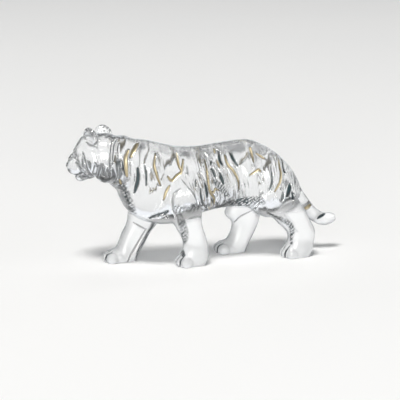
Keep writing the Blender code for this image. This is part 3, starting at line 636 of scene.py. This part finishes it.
def cut(points, line, half_width, depth, soft=False):
    """How far each point sinks for a groove along a line: round with crisp edges, or a soft hollow."""
    sunk = np.zeros(len(points))
    low, high = line.min(0) - half_width, line.max(0) + half_width
    near = np.flatnonzero(((points > low) & (points < high)).all(1))
    if len(near):
        gaps = np.linalg.norm(points[near, None] - line[None], axis=2) / leaf(len(line))
        share = np.clip(1 - gaps.min(1) / half_width, 0, 1)
        sunk[near] = depth * share * (share * (3 - 2 * share) if soft else 2 - share)
    return sunk


def tree_of(mesh):
    return BVHTree.FromPolygons([v.co for v in mesh.vertices], [tuple(p.vertices) for p in mesh.polygons])


def toe_line(tree, rows):
    return np.array([tree.find_nearest(Vector(p))[0] for p in spline(rows, 30)])


def all_grooves(tree):
    """Every groove's line on the surface, its width and depth as shares of a stripe's, and if it is soft."""
    grooves = []
    for side in (-1, 1):
        for _, share, marks in STRIPES:
            grooves.append((stripe_line(tree, side, marks), share, 1.0, False))
        for share, deep, paired, marks in FACE_GROOVES:
            if paired or side == 1:
                grooves.append((face_line(tree, side, marks), share, deep, share > SOFT_FROM))
    for side, share, deep, marks in FOLDS:
        grooves.append((stripe_line(tree, side, marks), share, deep, share > SOFT_FROM))
    for rows in toe_lines():
        grooves.append((toe_line(tree, rows), TOE_CLEFT_SHARE, TOE_CLEFT_DEPTH, False))
    return grooves


def points_of(mesh):
    points = np.empty(3 * len(mesh.vertices))
    mesh.vertices.foreach_get("co", points)
    return points.reshape(-1, 3)


def engrave(mesh):
    """Sink the stripes, the lines of the face and the clefts between the toes."""
    points = points_of(mesh)
    normals = np.array([v.normal for v in mesh.vertices])
    sunk = np.zeros(len(points))
    for line, share, deep, soft in all_grooves(tree_of(mesh)):
        sunk = np.maximum(sunk, cut(points, line, share * STRIPE_WIDTH / 2, deep * STRIPE_DEPTH, soft))
    points -= normals * sunk[:, None]
    mesh.vertices.foreach_set("co", points.ravel())
    mesh.update()


def cut_level(mesh):
    """Cut the soles off flat at the ground and close them."""
    shape = bmesh.new()
    shape.from_mesh(mesh)
    geometry = shape.verts[:] + shape.edges[:] + shape.faces[:]
    cut_edges = bmesh.ops.bisect_plane(
        shape, geom=geometry, dist=0.01, plane_co=(0, 0, 0), plane_no=(0, 0, -1), clear_outer=True
    )["geom_cut"]
    edges = [e for e in cut_edges if isinstance(e, bmesh.types.BMEdge)]
    bmesh.ops.holes_fill(shape, edges=edges, sides=0)
    bmesh.ops.triangulate(shape, faces=shape.faces[:])
    bmesh.ops.recalc_face_normals(shape, faces=shape.faces[:])
    shape.to_mesh(mesh)
    shape.free()


def thinned(mesh, facets):
    """The mesh with its flat areas in larger facets."""
    holder = bpy.data.objects.new("thinned", mesh)
    bpy.context.scene.collection.objects.link(holder)
    mesh.calc_loop_triangles()
    thin = holder.modifiers.new("Thin", "DECIMATE")
    thin.ratio = facets / len(mesh.loop_triangles)
    graph = bpy.context.evaluated_depsgraph_get()
    result = bpy.data.meshes.new_from_object(holder.evaluated_get(graph))
    bpy.data.objects.remove(holder)
    bpy.data.meshes.remove(mesh)
    return result


# Fine surface: voxels and facets of the mesh, depth of the cut streaks and of the swell between them
FINE_VOXEL_LOOK = 0.45
LOOK_FACETS = 190000
STREAK_DEPTH = 0.75
SWELL_DEPTH = 0.09

# The streaks' two sets, as pitch and seed
FINE_STREAKS = (2.7, 1.3)
COARSE_STREAKS = (4.1, 7.9)

# Where along the body the streaks set in and where they thin out again, how far either takes, and how much of
# their depth the shoulder has and the haunch loses
BARREL_START, BARREL_BLEND = 0.36, 0.10
HAUNCH_START, HAUNCH_BLEND = 0.60, 0.08
SHOULDER_SHARE = 0.12
HAUNCH_LOSS = 0.62

# The gilding: how far it stands off the bottom of its groove, how much of the groove's width it covers, and
# how many points it has across
GILDING_LIFT = 0.07
GILDING_SHARE = 0.70
GILDING_COLUMNS = 9

# Painted shade in cuts and hollows, from 0 to 1: in streaks, which fade on the haunch, in plain and
# gilded stripes, lines of the face, folds and soft hollows. The far side, seen through the glass, has less
STREAK_SHADE = 0.92
HAUNCH_STREAK_FADE = 0.7
HAUNCH_FADE_START = 0.58
GROOVE_SHADE = 1.0
RIM_SHADE = 0.75
FACE_SHADE = 0.93
FOLD_SHADE = 0.95
FULL_FOLD_DEPTH = 0.7
WIDE_FOLD_SHADE = 0.5
SOFT_SHADE = 0.08
FAR_SHARE = 0.6
FAR_FACE_SHARE = 0.36
SHADE_POWER = 2.1
# SHADE_COLOUR is the colour of the painted shade; RIM_COLOUR is painted shade towards edges seen edge-on
SHADE_COLOUR = (0.002, 0.007, 0.009, 1)
RIM_COLOUR = (0.22, 0.29, 0.32, 1)

# How the shade of a line spreads from its middle: gain and threshold
BROAD = (1.4, 0.0)
MEDIUM = (1.8, 0.45)
FINE = (2.2, 1.0)
PATCH_GAIN = 1.8

# Grooves wider than this share of a stripe are soft hollows. Clefts between the toes: width, depth and width
# of their shade, as shares of a stripe's
SOFT_FROM = 1.5
TOE_CLEFT_SHARE = 0.6
TOE_CLEFT_DEPTH = 1.1
TOE_SHADE_SHARE = 0.7

# The satin of the legs: its upper edge as a share of the back's height, and how far it fades
SATIN_TOP = 0.43
SATIN_BLEND = 3.0

# Camera, lights and floor
CAMERA_AZIMUTH = -16.5
CAMERA_ELEVATION = 14.0
CAMERA_DISTANCE = 800.0
CAMERA_LENS = 120.0
CAMERA_TARGET = (-4.35, 0.0, 36.4)
ROOM_COLOUR = (0.012, 0.018, 0.021, 1)
WALL_COLOUR = (0.95, 0.97, 1.0, 1)

# Pale panels round the dim room: their brightness over the height, which is the sine of the elevation, and
# over a full turn
HORIZON = ((0.0, 1.0), (0.015, 1.0), (0.045, 0.0))
PANELS = (
    (
        ((0.0, 1.0), (0.30, 1.0), (0.34, 0.0)),
        ((0.595, 0.0), (0.61, 1.0), (0.74, 1.0), (0.755, 0.0)),
    ),
    (
        ((0.30, 0.0), (0.34, 1.0), (0.55, 1.0), (0.60, 0.0)),
        (
            (0.02, 0.0), (0.04, 1.0), (0.15, 1.0), (0.17, 0.0),
            (0.27, 0.0), (0.29, 1.0), (0.38, 1.0), (0.40, 0.0),
            (0.50, 0.0), (0.52, 1.0), (0.63, 1.0), (0.65, 0.0),
            (0.76, 0.0), (0.78, 1.0), (0.90, 1.0), (0.92, 0.0),
        ),
    ),
)

# The lamps: name, place in metres, size and watts. All of them aim at one spot
LAMP_AIM = (0, 0, 0.03)
LAMP_COLOUR = (1.0, 0.985, 0.96)
LAMPS = (
    ("key", (-1.5, -1.9, 6.0), (1.9, 1.6), 370.0),
    ("fill", (4.6, -2.6, 3.4), (1.6, 2.6), 20.0),
    ("front", (-1.0, -3.4, 0.5), (2.6, 0.7), 72.0),
    ("top", (0.3, 2.6, 5.6), (4.0, 1.2), 25.0),
)

# Patches of painted shade on the body and legs: sides, half width, full shade, whether the shade is mottled,
# and the line as for the stripes
PAINTED_SHADE_PATCHES = (
    ((-1, 1), 3.6, 1.0, True, ((0.510, 0.480), (0.590, 0.505), (0.660, 0.535), (0.745, 0.550))),
    ((-1, 1), 5.5, 1.0, True, ((0.540, 0.490), (0.600, 0.480), (0.665, 0.500), (0.750, 0.520))),
    ((-1, 1), 1.3, 1.0, False, ((0.910, 0.645), (0.900, 0.605), (0.880, 0.555))),
    ((-1, 1), 2.8, 1.0, True, ((0.490, 0.730), (0.530, 0.655), (0.570, 0.580))),
    ((-1, 1), 4.2, 1.0, True, ((0.000, 0.750), (0.020, 0.670), (0.040, 0.590), (0.070, 0.480))),
    ((-1,), 2.4, 1.0, True, ((0.150, 0.430), (0.175, 0.460), (0.210, 0.475), (0.235, 0.500))),
    ((-1,), 2.8, 0.9, True, ((0.265, 0.535), (0.315, 0.515), (0.360, 0.510), (0.410, 0.510))),
    ((-1,), 3.2, 1.0, True, ((0.285, 0.510), (0.300, 0.420), (0.320, 0.310), (0.325, 0.210), (0.320, 0.100))),
    ((-1,), 2.3, 1.0, True, ((0.205, 0.360), (0.190, 0.285), (0.160, 0.200), (0.125, 0.115), (0.105, 0.025))),
    ((-1,), 2.3, 1.0, True, ((0.795, 0.405), (0.850, 0.360), (0.900, 0.310), (0.920, 0.240), (0.920, 0.130))),
    ((-1,), 0.7, 0.7, False, ((0.310, 0.760), (0.335, 0.710), (0.375, 0.630), (0.400, 0.525))),
)
HATCH_PITCH = 2.3

# Patches of painted shade on the face: half width, full shade, whether the shade is mottled, and the
# line as for its grooves
FACE_SHADES = (
    (0.9, 1.0, False, ((0.85, 0.35, -0.55), (0.75, 0.40, -0.60), (0.65, 0.55, -0.70), (0.55, 0.65, -0.75))),
    (0.8, 1.0, False, ((0.65, 0.50, 0.15), (0.65, 0.60, -0.15), (0.60, 0.70, -0.40), (0.60, 0.65, -0.70))),
    (0.6, 0.9, False, ((0.70, 0.55, -0.15), (0.65, 0.55, -0.35), (0.60, 0.65, -0.60))),
    (1.3, 1.0, True, ((0.60, 0.50, 0.65), (0.60, 0.60, 0.45), (0.55, 0.70, 0.20))),
    (2.0, 0.9, True, ((0.10, 0.80, 1.05), (0.05, 0.90, 0.80), (0.00, 1.00, 0.45))),
    (0.9, 1.0, False, ((0.35, 0.90, -0.85), (0.20, 1.00, -0.65), (0.15, 1.00, -0.60), (0.10, 0.95, -0.70))),
    (1.4, 1.0, True, ((0.40, 0.90, -0.70), (0.35, 0.80, -1.00), (0.25, 0.85, -1.25))),
)


def shown(name, mesh, material):
    """A finished piece: metres, smooth, its material, and its place in the frame."""
    mesh.name = name
    mesh.materials.clear()
    mesh.materials.append(material)
    mesh.shade_smooth()
    obj = bpy.data.objects.new(name, mesh)
    bpy.context.scene.collection.objects.link(obj)
    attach(obj, "root")
    return obj


def gilding_strips(tree):
    """Thin ribbons of gold on the sloping sides of the gilded grooves, laid from the uncut surface."""
    verts, faces = [], []
    for side in (-1, 1):
        for gilded, share, marks in STRIPES:
            if not gilded:
                continue
            line = stripe_line(tree, side, marks)
            along = np.gradient(line, axis=0)
            along /= np.linalg.norm(along, axis=1)[:, None] + 1e-9
            full = share * STRIPE_WIDTH / 2 * leaf(len(line))
            first = len(verts)
            for k in range(len(line)):
                normal = np.array(tree.find_nearest(Vector(line[k]))[1])
                across = np.cross(normal, along[k])
                across /= np.linalg.norm(across) + 1e-9
                for w in np.linspace(-GILDING_SHARE, GILDING_SHARE, GILDING_COLUMNS):
                    spot = tree.find_nearest(Vector(line[k] + w * full[k] * across))[0]
                    slope = 1 - abs(w)
                    sink = STRIPE_DEPTH * slope * (2 - slope) - GILDING_LIFT
                    verts.append(np.array(spot) - sink * normal)
            for k in range(len(line) - 1):
                for w in range(GILDING_COLUMNS - 1):
                    a = first + GILDING_COLUMNS * k + w
                    b = a + GILDING_COLUMNS
                    faces.append((a, a + 1, b + 1, b) if side < 0 else (b, b + 1, a + 1, a))
    mesh = bpy.data.meshes.new("gilding")
    mesh.from_pydata([tuple(v) for v in verts], [], faces)
    mesh.update()
    return mesh


def node_set(material):
    """The nodes and links of a new material, and its surface shader."""
    material.use_nodes = True
    tree = material.node_tree
    return tree.nodes, tree.links, tree.nodes["Principled BSDF"]


def crystal_look():
    """Clear lead crystal with a slight ripple, with painted shade where the mesh's shade is high and towards
    edges seen edge-on, and satin where its satin is high.
    """
    material = bpy.data.materials.new("clear crystal")
    nodes, links, surface = node_set(material)
    surface.inputs["IOR"].default_value = 1.58
    surface.inputs["Transmission Weight"].default_value = 1.0
    surface.inputs["Metallic"].default_value = 0.0
    tint = nodes.new("ShaderNodeTexNoise")
    tint.inputs["Scale"].default_value = 60.0
    ramp = nodes.new("ShaderNodeValToRGB")
    ramp.color_ramp.elements[0].color = (0.955, 0.97, 0.985, 1)
    ramp.color_ramp.elements[1].color = (0.985, 0.99, 1.0, 1)
    links.new(tint.outputs["Fac"], ramp.inputs["Fac"])
    # Painted shade: the mesh's shade value darkens the colour towards SHADE_COLOUR
    shade = nodes.new("ShaderNodeAttribute")
    shade.attribute_name = "shade"
    shaded = nodes.new("ShaderNodeMix")
    shaded.data_type = "RGBA"
    shaded.inputs["B"].default_value = SHADE_COLOUR
    links.new(shade.outputs["Fac"], shaded.inputs["Factor"])
    links.new(ramp.outputs["Color"], shaded.inputs["A"])
    # Painted shade at the rim: the colour darkens towards RIM_COLOUR where the surface is seen edge-on
    rim = nodes.new("ShaderNodeLayerWeight")
    rim.inputs["Blend"].default_value = 0.5
    edge = nodes.new("ShaderNodeMapRange")
    edge.inputs["From Min"].default_value = 0.55
    edge.inputs["From Max"].default_value = 0.95
    links.new(rim.outputs["Facing"], edge.inputs["Value"])
    edged = nodes.new("ShaderNodeMix")
    edged.data_type = "RGBA"
    edged.inputs["B"].default_value = RIM_COLOUR
    links.new(edge.outputs["Result"], edged.inputs["Factor"])
    links.new(shaded.outputs["Result"], edged.inputs["A"])
    links.new(edged.outputs["Result"], surface.inputs["Base Color"])
    satin = nodes.new("ShaderNodeAttribute")
    satin.attribute_name = "satin"
    rough = nodes.new("ShaderNodeMapRange")
    rough.inputs["To Min"].default_value = 0.015
    rough.inputs["To Max"].default_value = 0.16
    links.new(satin.outputs["Fac"], rough.inputs["Value"])
    links.new(rough.outputs["Result"], surface.inputs["Roughness"])
    clear = nodes.new("ShaderNodeMapRange")
    clear.inputs["To Min"].default_value = 0.97
    clear.inputs["To Max"].default_value = 0.62
    links.new(satin.outputs["Fac"], clear.inputs["Value"])
    links.new(clear.outputs["Result"], surface.inputs["Transmission Weight"])
    ripple = nodes.new("ShaderNodeTexNoise")
    ripple.inputs["Scale"].default_value = 260.0
    ripple.inputs["Detail"].default_value = 3.0
    bump = nodes.new("ShaderNodeBump")
    bump.inputs["Strength"].default_value = 0.06
    bump.inputs["Distance"].default_value = 0.0006
    links.new(ripple.outputs["Fac"], bump.inputs["Height"])
    links.new(bump.outputs["Normal"], surface.inputs["Normal"])
    return material


def gold_look():
    """Thin satin gold, a little worn and uneven."""
    material = bpy.data.materials.new("gilding")
    nodes, links, surface = node_set(material)
    surface.inputs["Metallic"].default_value = 1.0
    patch = nodes.new("ShaderNodeTexNoise")
    patch.inputs["Scale"].default_value = 350.0
    patch.inputs["Detail"].default_value = 4.0
    ramp = nodes.new("ShaderNodeValToRGB")
    ramp.color_ramp.elements[0].position = 0.3
    ramp.color_ramp.elements[0].color = (0.31, 0.26, 0.15, 1)
    ramp.color_ramp.elements[1].position = 0.7
    ramp.color_ramp.elements[1].color = (0.70, 0.61, 0.43, 1)
    links.new(patch.outputs["Fac"], ramp.inputs["Fac"])
    links.new(ramp.outputs["Color"], surface.inputs["Base Color"])
    rough = nodes.new("ShaderNodeMapRange")
    rough.inputs["To Min"].default_value = 0.50
    rough.inputs["To Max"].default_value = 0.28
    links.new(patch.outputs["Fac"], rough.inputs["Value"])
    links.new(rough.outputs["Result"], surface.inputs["Roughness"])
    bump = nodes.new("ShaderNodeBump")
    bump.inputs["Strength"].default_value = 0.25
    bump.inputs["Distance"].default_value = 0.0001
    links.new(patch.outputs["Fac"], bump.inputs["Height"])
    links.new(bump.outputs["Normal"], surface.inputs["Normal"])
    return material


def floor_look():
    """Pale paper with a faint grain."""
    material = bpy.data.materials.new("pale paper")
    nodes, links, surface = node_set(material)
    surface.inputs["Roughness"].default_value = 0.8
    grain = nodes.new("ShaderNodeTexNoise")
    grain.inputs["Scale"].default_value = 30.0
    ramp = nodes.new("ShaderNodeValToRGB")
    ramp.color_ramp.elements[0].color = (0.85, 0.855, 0.86, 1)
    ramp.color_ramp.elements[1].color = (0.87, 0.87, 0.87, 1)
    links.new(grain.outputs["Fac"], ramp.inputs["Fac"])
    links.new(ramp.outputs["Color"], surface.inputs["Base Color"])
    return material


def steps(tree, value, stops):
    """A grey ramp over a value, from (position, grey) stops."""
    ramp = tree.nodes.new("ShaderNodeValToRGB")
    tree.links.new(value, ramp.inputs["Fac"])
    parts = ramp.color_ramp.elements
    while len(parts) < len(stops):
        parts.new(0.5)
    for part, (place, grey) in zip(parts, stops):
        part.position = place
        part.color = (grey, grey, grey, 1)
    return ramp.outputs["Color"]


def joined(tree, operation, first, second):
    """A sum, product or the like of two values."""
    node = tree.nodes.new("ShaderNodeMath")
    node.operation = operation
    tree.links.new(first, node.inputs[0])
    tree.links.new(second, node.inputs[1])
    return node.outputs["Value"]


def studio_world():
    """A dim room with a pale horizon and pale panels standing round it."""
    world = bpy.data.worlds.new("studio")
    world.use_nodes = True
    tree = world.node_tree
    place = tree.nodes.new("ShaderNodeTexCoord")
    split = tree.nodes.new("ShaderNodeSeparateXYZ")
    tree.links.new(place.outputs["Generated"], split.inputs["Vector"])
    turn = tree.nodes.new("ShaderNodeTexGradient")
    turn.gradient_type = "RADIAL"
    tree.links.new(place.outputs["Generated"], turn.inputs["Vector"])
    lit = steps(tree, split.outputs["Z"], HORIZON)
    for heights, turns in PANELS:
        height = steps(tree, split.outputs["Z"], heights)
        around = steps(tree, turn.outputs["Fac"], turns)
        lit = joined(tree, "MAXIMUM", lit, joined(tree, "MULTIPLY", height, around))
    room = tree.nodes.new("ShaderNodeMix")
    room.data_type = "RGBA"
    room.inputs["A"].default_value = ROOM_COLOUR
    room.inputs["B"].default_value = WALL_COLOUR
    tree.links.new(lit, room.inputs["Factor"])
    tree.links.new(room.outputs["Result"], tree.nodes["Background"].inputs["Color"])
    return world


def studio():
    """A pale floor, the room, soft lamps, and the camera at the photograph's angle."""
    bpy.ops.mesh.primitive_circle_add(vertices=96, radius=6.0, fill_type="NGON", location=(0, 0, -0.0002))
    floor = bpy.context.object
    floor.name = "floor"
    floor.data.materials.append(floor_look())
    bpy.context.scene.world = studio_world()
    for name, spot, size, power in LAMPS:
        lamp = bpy.data.lights.new(name, "AREA")
        lamp.shape = "RECTANGLE"
        lamp.size, lamp.size_y = size
        lamp.energy = power
        lamp.color = LAMP_COLOUR
        holder = bpy.data.objects.new(name, lamp)
        holder.location = spot
        holder.rotation_euler = (Vector(spot) - Vector(LAMP_AIM)).to_track_quat("Z", "Y").to_euler()
        bpy.context.scene.collection.objects.link(holder)
    azimuth, elevation = math.radians(CAMERA_AZIMUTH), math.radians(CAMERA_ELEVATION)
    level = math.cos(elevation)
    back = Vector((math.sin(azimuth) * level, -math.cos(azimuth) * level, math.sin(elevation)))
    camera = bpy.data.objects.new("camera", bpy.data.cameras.new("camera"))
    camera.data.lens = CAMERA_LENS
    camera.data.clip_start = 0.01
    camera.location = (Vector(CAMERA_TARGET) + back * CAMERA_DISTANCE) * MM
    camera.rotation_euler = back.to_track_quat("Z", "Y").to_euler()
    bpy.context.scene.collection.objects.link(camera)
    bpy.context.scene.camera = camera


def rising(value, start, span):
    """From 0 to 1 as a value goes from start over a span."""
    return np.clip((value - start) / span, 0, 1)


def satin_share(points):
    """1 on the lower legs, which are left satin, and 0 on the polished body."""
    return np.clip((SATIN_TOP * BACK_HEIGHT - points[:, 2]) / SATIN_BLEND + 0.5, 0, 1)


def scatter(cell, seed):
    """A number from 0 to 1 for each cell, always the same one."""
    return np.modf(abs(np.sin(cell * 12.9898 + seed) * 4375.85))[0]


def streaks(x, z, pitch, seed):
    """The depth and the painted shade of sharp upright cuts side by side.

    They lean forward on the shoulder and back on the haunch. Each cut has its own place in its cell, its own
    width, middle and reach, and a line of painted shade on its right.
    """
    rear = rising(x, 0.2 * BODY_LENGTH, 0.25 * BODY_LENGTH)
    lean = 0.22 - 0.42 * rear
    wander = 0.5 * np.sin(0.21 * z + seed)
    s = (x + lean * (z - 0.7 * BACK_HEIGHT) + wander) / pitch
    cell = np.floor(s)
    first, second, third = (scatter(cell, seed + k) for k in range(3))
    gap = (s - cell - 0.5 - 0.25 * (first - 0.5)) * pitch
    wide = 0.50 + 0.45 * second
    middle = BACK_HEIGHT * (0.66 + 0.24 * (third - 0.3))
    reach = BACK_HEIGHT * (0.09 + 0.17 * first)
    taper = np.clip(1 - abs(z - middle) / reach, 0, 1) ** 0.5
    depth = taper * np.clip(1 - abs(gap) / wide, 0, 1) * (0.45 + 0.55 * second)
    in_line = (gap > 0.1) * (gap < 0.1 + 0.45 * wide)
    shade = taper * in_line * np.clip(2.6 * second - 1.2, 0, 1)
    return depth, shade


def rippled(points, normals):
    """How far each point of the trunk moves for the cut streaks and the swell, and the streaks' painted
    shade.
    """
    x, z = points[:, 0], points[:, 2]
    sideways = abs(normals[:, 1])
    along = (x - CHEST_FRONT_X) / BODY_LENGTH
    flank = rising(sideways, 0.10, 0.3)
    steep = np.clip(sideways / 0.2 - 0.3, 0, 1)
    trunk_only = rising(along, 0, 0.06) * rising(z, 0.46 * BACK_HEIGHT, 5)
    barrel = rising(along, BARREL_START, BARREL_BLEND)
    haunch = rising(along, HAUNCH_START, HAUNCH_BLEND)
    amount = SHOULDER_SHARE + (1 - SHOULDER_SHARE) * barrel - HAUNCH_LOSS * haunch
    fine, coarse = streaks(x, z, *FINE_STREAKS), streaks(x, z, *COARSE_STREAKS)
    cuts = np.maximum(fine[0], coarse[0])
    swell = np.sin(0.95 * x + 0.16 * z + 0.9 * np.sin(0.13 * z)) + 0.6 * np.sin(0.47 * x - 0.21 * z)
    shift = trunk_only * (SWELL_DEPTH * steep * swell - STREAK_DEPTH * flank * amount * cuts)
    fade = 1 - HAUNCH_STREAK_FADE * rising(along, HAUNCH_FADE_START, HAUNCH_BLEND)
    seen = np.where(points[:, 1] > 0, FAR_SHARE, 1) * fade
    return shift, STREAK_SHADE * seen * trunk_only * flank * amount * np.maximum(fine[1], coarse[1])


def lined(points, line, half_width, spread):
    """The shade of each point near a line."""
    gain, threshold = spread
    return np.clip(gain * cut(points, line, half_width, 1.0) - threshold, 0, 1)


def groove_shade(points, tree):
    """From 0 to 1, the painted shade in the grooves of the stripes, the face, the folds and the toes."""
    half = STRIPE_WIDTH / 2
    shades = []
    for side, amount in ((-1, 1.0), (1, FAR_SHARE)):
        for gilded, share, marks in STRIPES:
            full = RIM_SHADE if gilded else GROOVE_SHADE
            line = stripe_line(tree, side, marks)
            shades.append(amount * full * lined(points, line, share * half, BROAD))
        for share, _, _, marks in FACE_GROOVES:
            if share < SOFT_FROM:
                line = face_line(tree, side, marks)
                shades.append(FACE_SHADE * amount * lined(points, line, share * half, MEDIUM))
    for side, share, deep, marks in FOLDS:
        line = stripe_line(tree, side, marks)
        if share > SOFT_FROM:
            shades.append(cut(points, line, share * half, SOFT_SHADE, True))
        else:
            full = WIDE_FOLD_SHADE if share > 1 else min(1, FOLD_SHADE * deep * deep / FULL_FOLD_DEPTH)
            shades.append(full * lined(points, line, share * half, FINE))
    for rows in toe_lines():
        shades.append(GROOVE_SHADE * lined(points, toe_line(tree, rows), TOE_SHADE_SHARE * half, FINE))
    return np.maximum.reduce(shades)


def shade_pattern(points):
    """A pattern of small flecks, dark and light, crossed by slanting lines, that breaks up the painted shade.
    """
    x, z = points[:, 0], points[:, 2]
    # cuts and chips are painted lines and flecks of shade; nothing here is cut into the surface
    slant = x - 0.8 * z + 0.4 * np.sin(0.9 * z)
    cuts = np.sin(2 * np.pi * slant / HATCH_PITCH)
    chips = np.sin(2.9 * x + 1.3 * np.sin(1.7 * z)) * np.sin(2.4 * z + 1.1 * np.sin(1.3 * x))
    return np.clip(0.66 + 0.8 * cuts + 0.9 * chips, 0, 1)


def painted_patch_shade(points, tree):
    """The painted shade of the patches on the body and face, and how much each point is polished clear there.
    """
    hollows = []
    for sides, half_width, full, mottled, marks in PAINTED_SHADE_PATCHES:
        hollows += [(stripe_line(tree, side, marks), half_width, full, mottled) for side in sides]
    for half_width, full, mottled, marks in FACE_SHADES:
        for side, amount in ((-1, 1.0), (1, FAR_FACE_SHARE)):
            hollows.append((face_line(tree, side, marks), half_width, amount * full, mottled))
    pattern = shade_pattern(points)
    shade, clear = np.zeros(len(points)), np.zeros(len(points))
    for line, half_width, full, mottled in hollows:
        patch = np.clip(PATCH_GAIN * cut(points, line, half_width, 1.0, True), 0, 1)
        shade = np.maximum(shade, full * patch * pattern if mottled else full * patch)
        if mottled:
            clear = np.maximum(clear, patch)
    return shade, clear


def main():
    for obj in list(bpy.data.objects):
        bpy.data.objects.remove(obj)
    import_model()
    mesh = tiger(FINE_VOXEL_LOOK)
    points = points_of(mesh)
    normals = np.array([v.normal for v in mesh.vertices])
    shift, shade = rippled(points, normals)
    mesh.vertices.foreach_set("co", (points + normals * shift[:, None]).ravel())
    mesh.update()
    tree = tree_of(mesh)
    gold = gilding_strips(tree)
    points = points_of(mesh)
    # The painted shade of the streaks, grooves and patches, stored on the mesh for the glass's colour
    patch_shade, clear = painted_patch_shade(points, tree)
    shade = np.maximum.reduce([shade, groove_shade(points, tree), patch_shade])
    shade = 1 - (1 - shade) ** SHADE_POWER
    mesh.attributes.new("shade", "FLOAT", "POINT").data.foreach_set("value", shade)
    satin = satin_share(points) * (1 - clear)
    mesh.attributes.new("satin", "FLOAT", "POINT").data.foreach_set("value", satin)
    engrave(mesh)
    mesh = thinned(mesh, LOOK_FACETS)
    cut_level(mesh)
    points = points_of(mesh)
    middle = (points.min(0) + points.max(0)) / 2
    middle[2] = 0
    for piece in (mesh, gold):
        piece.vertices.foreach_set("co", ((points_of(piece) - middle) * MM).ravel())
        piece.update()
    body = shown("tiger_crystal", mesh, crystal_look())
    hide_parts("tiger")
    shown("tiger_gilding", gold, gold_look())
    studio()
    bpy.context.scene.view_settings.view_transform = "Standard"


main()
